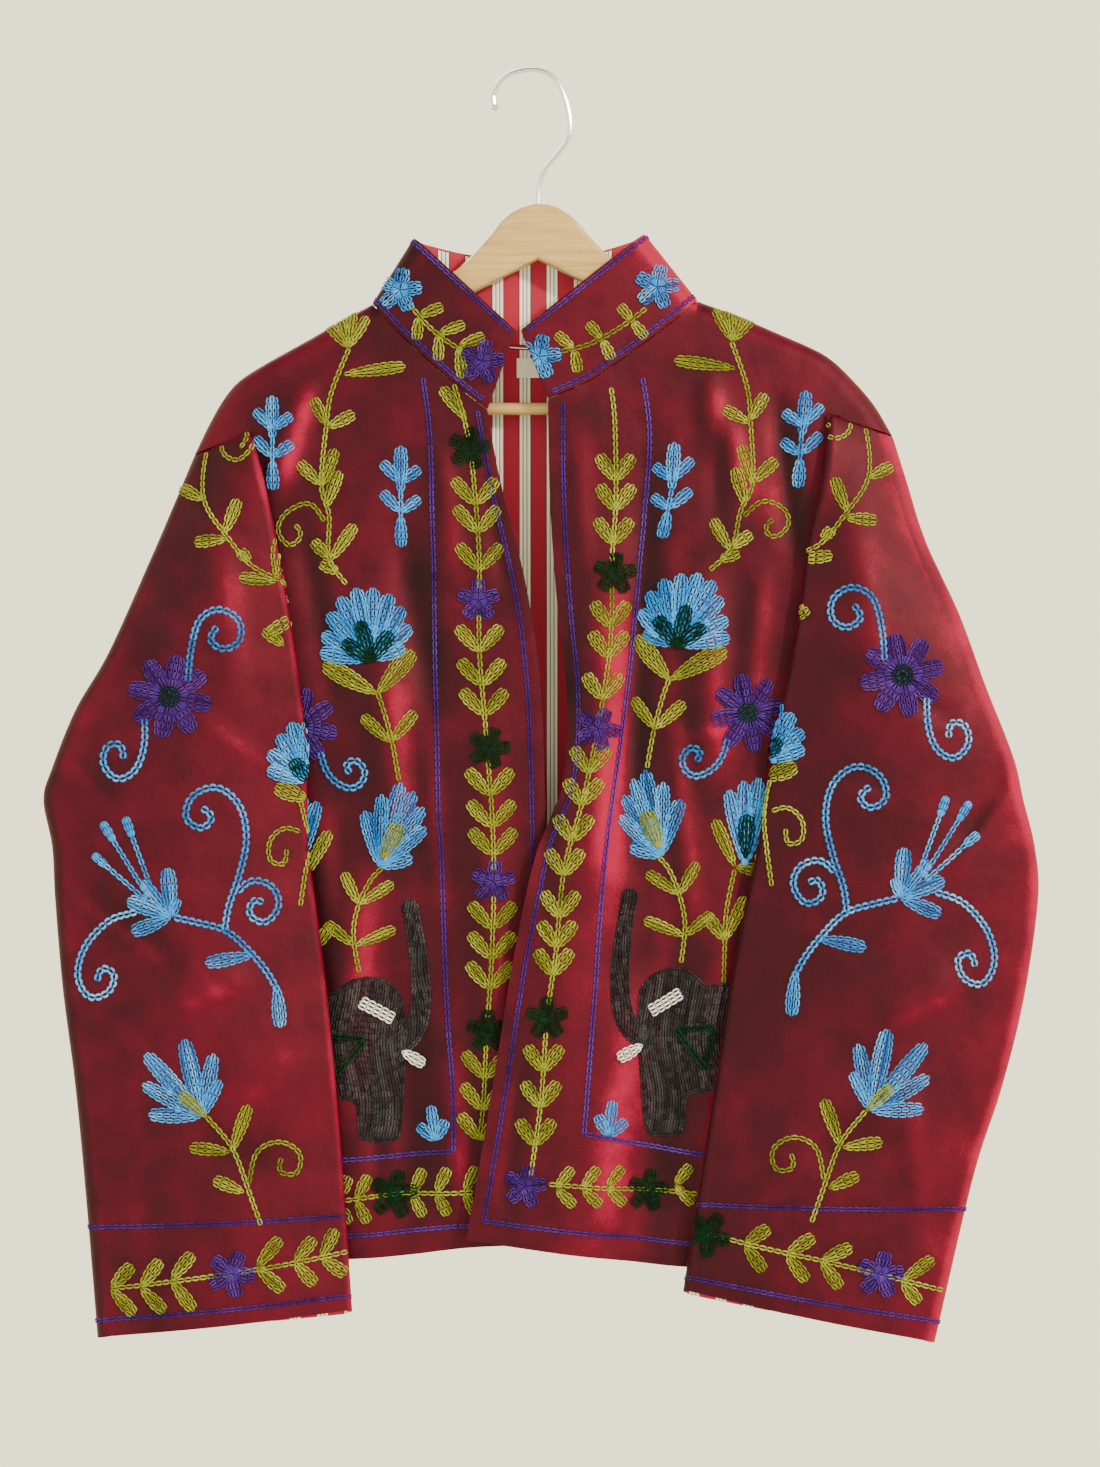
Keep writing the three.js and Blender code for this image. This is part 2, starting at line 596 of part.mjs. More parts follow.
// Grid shares. They are close where the cloth turns over at the shoulder, the side seam and the neck.
const frontShares = {
  across: [0, 0.006, 0.024, 0.06, 0.11, 0.17, 0.24, 0.32, 0.41, 0.5, 0.57, neckShare, 0.606, 0.624, 0.66,
    0.72, 0.79, 0.86, 0.93, 1],
  down: [0, 0.0022, 0.009, 0.024, 0.045, dropSeamShare, 0.11, 0.17, 0.24, 0.31, 0.38, 0.44, 0.475,
    armholeShare, 0.515, 0.57, 0.65, 0.74, 0.83, 0.92, 1],
};
const backHalf = [0, 0.003, 0.0115, 0.03, 0.06, 0.11, 0.17, 0.23, backNeckShare, 0.273, 0.283, 0.31, 0.36,
  0.43];
const backShares = {
  across: [...backHalf, 0.5, ...backHalf.map((share) => 1 - share).reverse()],
  down: frontShares.down,
};

for (const side of ['left', 'right']) {
  const grid = gridOf(frontPanel(side), frontShares.across, frontShares.down);
  add(`front_${side}`, wall(grid, -half, half), velvet);
}
const backGrid = gridOf(backPanel, backShares.across, backShares.down);
add('back', wall(backGrid, -half, half), velvet);

// A lining lies on the inner face of a velvet wall: inside says whether that is along the normals.
function liningOn(grid, inside, kept) {
  return wall(grid, inside * (half + seamGap), inside * (half + seamGap + liningWall), kept);
}
const turnedRows = 4; // the lining leaves free what lies on the hanger's arms
const turnedColumns = 5;
const neckColumns = 10; // between these it runs up to the neck seam
const lastCell = backShares.across.length - 2;
function backIsLined(row, column) {
  const inward = Math.min(column, lastCell - column);
  return inward >= turnedColumns && row >= (inward >= neckColumns ? 1 : turnedRows);
}
add('back_lining', liningOn(backGrid, -1, backIsLined), lining);

const [labelX, labelZ] = labelPlace;
const onLining = half + 2 * seamGap + liningWall + labelSize[1] / 2;
const label = new THREE.BoxGeometry(...labelSize);
label.translate(labelX, backY(labelX, labelZ) - onLining, labelZ);
add('label', label, tape);

const collarHalf = [0, 0.05, 0.11, 0.17, 0.21, 0.235, 0.25, 0.257, collarFrontShare, 0.263, 0.27, 0.285, 0.31,
  0.36, 0.43];
const collarShares = {
  around: [...collarHalf, 0.5, ...collarHalf.map((share) => 1 - share).reverse()],
  up: [0, 0.33, 0.67, 1],
};
const collarGrid = gridOf(collar, collarShares.around, collarShares.up);
add('collar', wall(collarGrid, -half, half), velvet);
const liningUp = [0.03, 0.33, 0.67, 0.97];
const collarInside = collarShares.around.slice(1, -1);
add('collar_lining', liningOn(gridOf(collar, collarInside, liningUp), 1), lining);

const sleeveShares = {
  around: [0, 0.05, 0.11, 0.16, 0.17, 0.18, 0.19, 0.2, 0.25, 0.31, 0.37, 0.43, 0.49, 0.54, 0.58, 0.595,
    0.61, 0.625, 0.64, 0.7, 0.77, 0.85, 0.93, 1],
  down: [0, 0.03, 0.07, 0.12, 0.18, 0.25, 0.32, 0.39, 0.45, 0.48, 0.49, 0.5, 0.515, 0.54, 0.58, 0.63,
    0.7, 0.78, 0.86, 0.93, 0.992, 1],
};
const cuffLiningRows = [-3, -1]; // the last stretch of the sleeve, short of its turned edge
for (const side of ['left', 'right']) {
  const grid = gridOf(sleeve(side), sleeveShares.around, sleeveShares.down);
  add(`sleeve_${side}`, wall(grid, -half, half), velvet);
  const cuffGrid = grid.slice(...cuffLiningRows);
  add(`cuff_lining_${side}`, liningOn(cuffGrid, side === 'left' ? -1 : 1), lining);
}

// The hanger: a sawn and rounded wooden body, a trouser bar let into its arms and a wire hook.
function armTop(side) {
  const { ridge, sign } = outline[side];
  const end = Math.abs(woodEnd[side][0][0]) - armEndEase;
  return ridge.slice(0, -1).map(([x, z], i) => {
    const [nextX, nextZ] = ridge[i + 1];
    const step = Math.hypot(nextX - x, nextZ - z);
    return [x + sign * woodUnderCloth * (nextZ - z) / step, z - sign * woodUnderCloth * (nextX - x) / step];
  }).filter(([x]) => Math.abs(x) < end);
}
function hangerBody() {
  const arms = [armTop('left').reverse(), armTop('right')];
  const upper = [woodEnd.left[0], ...arms[0], ...woodHump, ...arms[1], woodEnd.right[0]];
  const rings = [
    smoothLine(upper, 56),
    smoothLine(woodEnd.right, 8),
    smoothLine([...woodBelow.right].reverse(), 12),
    smoothLine([...woodBelow.left].reverse(), 12),
    smoothLine([...woodEnd.left].reverse(), 8),
  ];
  const loop = rings.flatMap((ring) => ring.slice(0, -1)).map(([x, z]) => new THREE.Vector2(x, z));
  const board = new THREE.ExtrudeGeometry(new THREE.Shape(loop), {
    depth: woodThick - 2 * woodRound, curveSegments: 1, bevelEnabled: true, bevelSegments: 2,
    bevelThickness: woodRound, bevelSize: woodRound, bevelOffset: -woodRound,
  });
  board.translate(0, 0, woodRound - woodThick / 2);
  board.rotateX(Math.PI / 2);
  const barHole = rod(barDiameter / 2 + holeClearance, barEnds[0] - 1, barEnds[1] + 1);
  const stemRadius = wireDiameter / 2 + holeClearance;
  const stemHole = new THREE.CylinderGeometry(stemRadius, stemRadius, stemHoleLength, 12);
  stemHole.rotateX(Math.PI / 2);
  stemHole.translate(stemX, 0, stemEnd - holeClearance + stemHoleLength / 2);
  return geometryOf(manifoldOf(board).subtract(manifoldOf(barHole)).subtract(manifoldOf(stemHole)));
}
function rod(radius, from, to) {
  const geometry = new THREE.CylinderGeometry(radius, radius, to - from, 14);
  geometry.rotateZ(Math.PI / 2);
  geometry.translate((from + to) / 2, 0, barHeight);
  return geometry;
}
function hook() {
  const places = hookLine.map(([x, z]) => new THREE.Vector3(x, 0, z));
  const line = new THREE.CatmullRomCurve3(places, false, 'centripetal');
  const section = new THREE.Shape().absarc(0, 0, wireDiameter / 2, 0, 2 * Math.PI);
  const bent = new THREE.ExtrudeGeometry(section, {
    steps: 44, curveSegments: 4, bevelEnabled: false, extrudePath: line,
  });
  const tip = new THREE.SphereGeometry(wireTipDiameter / 2, 10, 8);
  tip.translate(hookLine[0][0], 0, hookLine[0][1]);
  return geometryOf(manifoldOf(bent).add(manifoldOf(tip)));
}
add('hanger_body', hangerBody(), wood);
add('trouser_bar', rod(barDiameter / 2, ...barEnds), wood);
add('hook', hook(), wire);

export default jacket;
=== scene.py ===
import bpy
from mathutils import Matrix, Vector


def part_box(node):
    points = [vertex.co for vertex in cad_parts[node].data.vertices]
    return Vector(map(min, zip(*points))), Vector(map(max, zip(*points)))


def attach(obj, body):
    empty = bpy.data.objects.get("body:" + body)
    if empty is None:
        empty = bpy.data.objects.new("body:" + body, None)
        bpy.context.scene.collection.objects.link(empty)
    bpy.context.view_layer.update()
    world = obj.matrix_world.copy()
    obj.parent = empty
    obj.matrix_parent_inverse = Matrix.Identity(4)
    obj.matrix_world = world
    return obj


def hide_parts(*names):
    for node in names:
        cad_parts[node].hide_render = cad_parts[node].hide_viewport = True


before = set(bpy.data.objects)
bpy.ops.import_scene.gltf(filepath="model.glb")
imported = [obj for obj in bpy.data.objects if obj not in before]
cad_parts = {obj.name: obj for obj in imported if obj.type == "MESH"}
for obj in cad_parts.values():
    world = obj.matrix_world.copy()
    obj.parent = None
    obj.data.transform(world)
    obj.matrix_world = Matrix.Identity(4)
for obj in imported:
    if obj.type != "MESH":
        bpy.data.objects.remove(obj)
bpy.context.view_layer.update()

# A suzani jacket on a clothes hanger: velvet shells with their folds, a striped lining, and flowers,
# vines and elephants in wool chain stitch. The cloth is worked out in millimetres and made in metres.
import copy
import math

import bmesh
import bpy
import numpy as np
from mathutils import Vector
from mathutils.bvhtree import BVHTree

MM = 0.001

# Cloth
VELVET_WALL = 2.5
LINING_WALL = 1.0
SEAM_GAP = 0.35
HEAD_GAP, HEAD_GAP_BACK = 1.3, 3.8
LAYER_GAP = 3.2
EDGE_ROUND = 12.0
FRONT_REACH, BACK_REACH = 20.0, 16.0
EASE_LENGTH = 60.0
FOLD_START = (6, 40)
OVERLAP_LIFT = 10.0
OVERLAP_ACROSS, OVERLAP_DOWN = (15, 75), (-500, -400)
COLLAR_HEIGHT = 56.0
INNER_FOLD_RADIUS, OUTER_FOLD_RADIUS = 3.5, 9.0
SLEEVE_FORWARD = -28.0
SLEEVE_FRONT_BULGE, SLEEVE_BACK_BULGE = 9.0, 7.0
ARMHOLE_OUT, UNDERARM_OUT = 190.0, 4.1
CUFF_DROP = 3.5
UNDERARM_ROW, CUFF_ROW = 6, 12
DROP_SEAM_SHARE, ARMHOLE_SHARE = 0.07, 0.49
NECK_SHARE, BACK_NECK_SHARE, COLLAR_FRONT_SHARE = 0.6, 0.27, 0.26

OUTLINE = {
    "left": {
        "sign": -1,
        "collar_top": (-77.4, -110.5),
        "shoulder": [(-105.3, -154.7), (-124.8, -165.1), (-150.8, -180), (-176.8, -194.5),
                     (-193.1, -205.4), (-203, -217.5), (-212.6, -234.5), (-221.7, -253.5)],
        "drop_seam_front": (-184, -238.6),
        "drop_seam_back": (-212, -268),
        "underarm": (-200, -479.7),
        "hem_side": (-215, -774),
        "collar_end_high": (-10.6, -172.9),
        "neck": [(-105.3, -154.7), (-89, -172.8), (-66.3, -194), (-46.8, -211.5), (-29.3, -224.9)],
        "front_edge": [(-29.3, -224.9), (-20.8, -271.7), (-4.5, -336.7), (5.2, -401.7), (8.5, -479.7),
                       (9.8, -577.2), (10.4, -674.7), (10.4, -770.2)],
        "hem": [(-215, -774), (-165, -779), (-118.3, -780), (-80, -777), (-40.3, -772.2), (10.4, -770.2)],
    },
    "right": {
        "sign": 1,
        "collar_top": (73.5, -107.9),
        "shoulder": [(109.2, -152.8), (135.2, -162.5), (161.2, -173.6), (184, -183.6), (196, -190.5),
                     (208.7, -202.4), (224.2, -220.2), (236.6, -241.2)],
        "drop_seam_front": (193.1, -226.8),
        "drop_seam_back": (227, -257),
        "underarm": (200, -479.7),
        "hem_side": (218, -780),
        "collar_end_high": (-7.4, -172.9),
        "neck": [(109.2, -152.8), (89.7, -169), (63.7, -188.5), (37.7, -206.2), (10.4, -217.8)],
        "front_edge": [(10.4, -217.8), (11.7, -284.7), (16.2, -349.7), (23.4, -414.7), (19.5, -473.2),
                       (3.2, -512.2), (-11.1, -577.2), (-22.8, -648.7), (-32.5, -707.2), (-42.9, -765.7)],
        "hem": [(218, -780), (160, -786), (102.7, -785.2), (60, -780.5), (18.2, -774.8), (-42.9, -765.7)],
    },
}
BACK_NECK_DIP = -181
BACK_COLLAR_TOP = -121
BACK_HEM = [(-215, -774), (-118, -776), (-40, -769), (18, -778.5), (103, -789), (165, -789), (218, -780)]

SLEEVE_ROWS = {
    "left": {
        "inner_x": [-184, -178, -170, -159, -152, -148, -147.6, -147, -142, -135, -129, -123.5, -118.3],
        "inner_z": [-238.6, -262, -298, -360, -408, -447, -479.7, -512, -548, -603, -662, -733, -811.2],
        "outer_x": [-221.7, -234, -251, -276, -296, -311, -316.6, -311, -309, -304, -296, -289, -281.4],
        "outer_z": [-253.5, -285, -327, -385, -421, -459, -479.7, -510, -545, -603, -665, -737, -827.5],
    },
    "right": {
        "inner_x": [193.1, 191, 181, 174, 166, 157, 153.4, 148, 141, 130, 120, 110.5, 99.5],
        "inner_z": [-226.8, -265, -311, -363, -406, -447, -479.7, -512, -545, -603, -668, -727, -798.2],
        "outer_x": [236.6, 245, 257, 278, 294, 312, 318.5, 326, 328, 318.5, 304, 286, 260.7],
        "outer_z": [-241.2, -270, -311, -359, -405, -452, -479.7, -511, -545, -610, -668, -723.5, -830.7],
    },
}

# Folds: x and z at the two ends, half width and height (a trough is below 0). The first rows are the
# cloth's largest folds, and the finer creases follow them.
FOLDS = {
    "front_left": [
        (-147, -206, -170, -280, 9, 5), (-86, -300, -64, -420, 13, -6), (-97, -390, -88, -500, 13, 5),
        (-112, -520, -125, -680, 14, 6), (-84, -600, -78, -760, 16, -5), (-30, -420, -22, -740, 12, 3),
        (-93, -483, -101, -520, 5, 2.2), (-150, -300, -128, -420, 8, -2.5), (-60, -250, -52, -330, 7, 2),
        (-102, -505, -70, -512, 4, -1.6), (-104, -640, -100, -740, 6, -2.2), (-55, -640, -50, -750, 8, 2.4),
        (-30, -270, -16, -350, 5, -1.6), (-140, -480, -132, -560, 7, 2.4), (-70, -430, -60, -560, 6, 1.8),
    ],
    "front_right": [
        (115, -205, 137, -280, 10, 5), (160, -215, 172, -320, 9, -5), (46, -330, 44, -560, 16, 6),
        (78, -250, 62, -520, 11, -5), (112, -330, 118, -470, 12, 5), (100, -560, 78, -760, 15, -5),
        (60, -600, 42, -760, 14, 4),
        (126, -210, 120, -300, 6, -2.4), (150, -330, 141, -430, 7, 2.6), (92, -430, 104, -560, 7, 2.4),
        (24, -360, 6, -560, 5, -2), (-5, -640, -18, -750, 6, -1.8), (118, -640, 112, -760, 8, 2.6),
        (88, -440, 126, -428, 5, 2), (140, -520, 128, -640, 8, -2.4), (30, -240, 34, -330, 6, 1.8),
    ],
    "back": [
        (-125, -205, -60, -520, 15, 6), (-60, -230, -18, -600, 14, -4), (10, -260, 30, -760, 16, 5),
        (118, -205, 92, -560, 15, 6), (150, -360, 140, -760, 14, -4), (-150, -480, -120, -770, 15, -4),
        (-170, -260, -150, -400, 8, 2.4), (60, -300, 52, -480, 8, -2.4), (-90, -560, -84, -740, 9, 2.6),
        (172, -290, 160, -420, 8, 2.4), (-30, -480, -38, -700, 8, 2), (96, -600, 104, -750, 8, -2.2),
        (-150, -300, -110, -320, 5, 1.8), (110, -330, 150, -310, 5, 1.8), (-10, -300, 4, -420, 7, -1.8),
    ],
    "sleeve_left": [
        (-302, -531, -232, -582, 9, -4), (-275, -384, -238, -374, 8, -3), (-236, -608, -180, -588, 11, 3),
        (-205, -300, -190, -420, 12, 3), (-225, -690, -170, -720, 14, -3),
        (-308, -537, -236, -588, 4, 2.4), (-276, -378, -244, -370, 4, 1.8), (-236, -614, -180, -594, 4, 2),
        (-300, -450, -270, -480, 5, -1.8), (-262, -300, -228, -340, 6, 2), (-290, -620, -240, -650, 6, 1.6),
        (-262, -720, -256, -800, 8, 2), (-216, -430, -180, -452, 5, 1.6), (-180, -640, -150, -634, 5, -1.5),
    ],
    "sleeve_right": [
        (312, -458, 274, -512, 9, -4), (276, -430, 242, -415, 8, -3), (280, -590, 220, -620, 12, 3),
        (210, -300, 222, -400, 12, 3), (235, -690, 180, -715, 14, -3),
        (318, -462, 276, -520, 4, 2.6), (278, -436, 240, -420, 4, 2), (282, -596, 222, -628, 5, 2),
        (244, -300, 262, -350, 6, 2), (306, -560, 268, -566, 5, -2), (230, -480, 190, -470, 5, 1.6),
        (240, -640, 252, -760, 7, 2), (176, -560, 210, -590, 6, 1.6), (208, -400, 176, -380, 5, -1.5),
    ],
    "sleeve_left_back": [
        (-300, -500, -240, -560, 9, 3), (-270, -640, -200, -610, 9, -2.5), (-250, -420, -215, -440, 7, 2.4),
        (-280, -690, -230, -720, 9, 2.4), (-250, -520, -205, -500, 6, -2),
    ],
    "sleeve_right_back": [
        (310, -500, 250, -550, 9, 3), (280, -640, 215, -600, 9, -2.5), (262, -420, 225, -440, 7, 2.4),
        (270, -700, 220, -690, 9, 2.4), (250, -520, 210, -510, 6, -2),
    ],
}


def lerp(a, b, t):
    return a + (b - a) * t


def smoothstep(x, low, high):
    t = np.clip((x - low) / (high - low), 0, 1)
    return t * t * (3 - 2 * t)


def spline(places, samples=400):
    """Many points of the smooth line through the places."""
    p = np.array(places, float)
    row = np.linspace(0, len(p) - 1, samples)
    i = np.clip(row.astype(int), 0, len(p) - 2)
    t = (row - i)[:, None]
    a, b, c, d = (p[np.clip(i + k, 0, len(p) - 1)] for k in (-1, 0, 1, 2))
    slope_b, slope_c = (c - a) / 2, (d - b) / 2
    cubed, squared = 2 * b - 2 * c + slope_b + slope_c, 3 * c - 3 * b - 2 * slope_b - slope_c
    return cubed * t**3 + squared * t**2 + slope_b * t + b


def line_at(line, share):
    """Places along a line at shares of its length."""
    line = np.asarray(line, float)
    lengths = np.concatenate([[0], np.cumsum(np.linalg.norm(np.diff(line, axis=0), axis=1))])
    wanted = np.clip(share, 0, 1) * lengths[-1]
    return np.stack([np.interp(wanted, lengths, line[:, k]) for k in range(line.shape[1])], axis=-1)


def smooth_line(places, steps):
    return line_at(spline(places), np.linspace(0, 1, steps + 1))


def distance_to_line(x, z, line):
    best = np.full(np.shape(x), np.inf)
    for (ax, az), (bx, bz) in zip(line[:-1], line[1:]):
        dx, dz = bx - ax, bz - az
        t = np.clip(((x - ax) * dx + (z - az) * dz) / (dx * dx + dz * dz), 0, 1)
        best = np.minimum(best, np.hypot(x - ax - t * dx, z - az - t * dz))
    return best


for place in OUTLINE.values():
    place["ridge"] = smooth_line(place["shoulder"], 24)
    place["turn_over"] = np.vstack([place["collar_top"], place["ridge"]])
    under, hem_side = np.array(place["underarm"]), np.array(place["hem_side"])
    beyond = [hem_side[0] + 0.05 * (hem_side[0] - under[0]), hem_side[1] - 20]
    place["side_line"] = np.vstack([under, hem_side, beyond])
    place["neck_line"] = smooth_line(place["neck"], 16)
    place["edge_line"] = smooth_line(place["front_edge"], 30)
    place["hem_line"] = smooth_line(place["hem"], 16)
LEFT, RIGHT = OUTLINE["left"], OUTLINE["right"]
BACK_HEM_LINE = smooth_line(BACK_HEM, 30)
BACK_NECK_LINE = smooth_line([LEFT["shoulder"][0], (-60, BACK_NECK_DIP + 9), (2, BACK_NECK_DIP),
                              (62, BACK_NECK_DIP + 9), RIGHT["shoulder"][0]], 16)
BACK_TOP_LINE = smooth_line([LEFT["collar_top"], (-40, BACK_COLLAR_TOP + 2), (0, BACK_COLLAR_TOP),
                             (38, BACK_COLLAR_TOP + 3), RIGHT["collar_top"]], 16)


def round_over(distance, reach):
    near = np.sqrt(np.maximum(EDGE_ROUND**2 - (EDGE_ROUND - distance) ** 2, 0))
    far = EDGE_ROUND + (reach - EDGE_ROUND) * (1 - np.exp((EDGE_ROUND - distance) / EASE_LENGTH))
    return np.where(distance < EDGE_ROUND, near, far)


def fold_height(table, x, z):
    height = np.zeros(np.shape(x))
    for x0, z0, x1, z1, width, tall in FOLDS[table]:
        dx, dz = x1 - x0, z1 - z0
        along = ((x - x0) * dx + (z - z0) * dz) / (dx * dx + dz * dz)
        across = ((x - x0) * dz - (z - z0) * dx) / math.hypot(dx, dz)
        fade = smoothstep(along, -0.15, 0.3) * (1 - smoothstep(along, 0.7, 1.15))
        height += tall * np.exp(-((across / width) ** 2)) * fade
    return height


def front_y(side, x, z):
    place = OUTLINE[side]
    inward = np.minimum.reduce([distance_to_line(x, z, place[line]) for line in ("turn_over", "side_line")])
    folds = smoothstep(inward, *FOLD_START) * fold_height("front_" + side, x, z)
    y = -round_over(inward, FRONT_REACH) - folds
    if side == "right":
        y = y - OVERLAP_LIFT * (1 - smoothstep(x, *OVERLAP_ACROSS)) * (1 - smoothstep(z, *OVERLAP_DOWN))
    return y


def back_y(x, z):
    inward = np.minimum.reduce([distance_to_line(x, z, place[line]) for place in (LEFT, RIGHT)
                                for line in ("turn_over", "side_line")])
    return round_over(inward, BACK_REACH) + smoothstep(inward, *FOLD_START) * fold_height("back", x, z)


def side_at(place, seam_point, v):
    top, under, hem = place["ridge"][-1], place["underarm"], place["hem_side"]
    seam = line_at([top, seam_point], v / DROP_SEAM_SHARE)
    armhole = line_at([seam_point, under], (v - DROP_SEAM_SHARE) / (ARMHOLE_SHARE - DROP_SEAM_SHARE))
    below = line_at([under, hem], (v - ARMHOLE_SHARE) / (1 - ARMHOLE_SHARE))
    v = v[..., None]
    return np.where(v < DROP_SEAM_SHARE, seam, np.where(v < ARMHOLE_SHARE, armhole, below))


def spread(top, bottom, v, pulls):
    """Places between a top and a bottom line, with the sides pulled to their own lines."""
    at = lerp(top, bottom, v[..., None])
    ends = np.array([0.0, 1.0])
    for line, weight in pulls:
        first, last = line(ends)
        at = at + weight[..., None] * (line(v) - lerp(first, last, v[..., None]))
    return at


def front_panel(side):
    place = OUTLINE[side]

    def surface(u, v):
        ridge = line_at(place["ridge"], 1 - u / NECK_SHARE)
        neck = line_at(place["neck_line"], (u - NECK_SHARE) / (1 - NECK_SHARE))
        top = np.where(u[..., None] < NECK_SHARE, ridge, neck)
        pulls = [(lambda t: side_at(place, place["drop_seam_front"], t), (1 - u) ** 5),
                 (lambda t: line_at(place["edge_line"], t), u**2)]
        x, z = np.moveaxis(spread(top, line_at(place["hem_line"], u), v, pulls), -1, 0)
        return np.stack([x, front_y(side, x, z) - SEAM_GAP / 2, z], axis=-1)
    return surface


def back_panel(u, v):
    left = line_at(LEFT["ridge"], 1 - u / BACK_NECK_SHARE)
    right = line_at(RIGHT["ridge"], 1 - (1 - u) / BACK_NECK_SHARE)
    neck = line_at(BACK_NECK_LINE, (u - BACK_NECK_SHARE) / (1 - 2 * BACK_NECK_SHARE))
    w = u[..., None]
    top = np.where(w < BACK_NECK_SHARE, left, np.where(w > 1 - BACK_NECK_SHARE, right, neck))
    pulls = [(lambda t: side_at(LEFT, LEFT["drop_seam_back"], t), (1 - u) ** 10),
             (lambda t: side_at(RIGHT, RIGHT["drop_seam_back"], t), u**10)]
    x, z = np.moveaxis(spread(top, line_at(BACK_HEM_LINE, u), v, pulls), -1, 0)
    return np.stack([x, back_y(x, z) + SEAM_GAP / 2, z], axis=-1)


def collar_band(u, v):
    share = COLLAR_FRONT_SHARE
    t_left, t_right = 1 - u / share, (u - 1 + share) / share
    t_back = (u - share) / (1 - 2 * share)
    is_left, is_right = (u < share)[..., None], (u > 1 - share)[..., None]
    low = np.where(is_left, line_at(LEFT["neck_line"], t_left),
                   np.where(is_right, line_at(RIGHT["neck_line"], t_right), line_at(BACK_NECK_LINE, t_back)))
    high = np.where(is_left, line_at([LEFT["collar_top"], LEFT["collar_end_high"]], t_left),
                    np.where(is_right, line_at([RIGHT["collar_top"], RIGHT["collar_end_high"]], t_right),
                             line_at(BACK_TOP_LINE, t_back)))
    to_fold = np.minimum(np.abs(u - share), np.abs(u - 1 + share))
    gap = (SEAM_GAP + 0.7 * np.exp(-((to_fold / 0.03) ** 2))) / COLLAR_HEIGHT
    x, z = np.moveaxis(lerp(low, high, lerp(gap, 1, v)[..., None]), -1, 0)
    y = np.where(u > 1 - share, front_y("right", x, z), back_y(x, z))
    y = np.where(u < share, front_y("left", x, z), y)
    return np.stack([x, y * (1 + 0.05 * np.sin(np.pi * v)), z], axis=-1)


SLEEVE_PARTS = [("hidden", 0.16), ("inner_fold", 0.2), ("front", 0.58), ("outer_fold", 0.64), ("behind", 1.0)]


def bezier(a, b, c, d, t):
    s = 1 - t
    return s**3 * a + 3 * s * s * t * b + 3 * s * t * t * c + t**3 * d


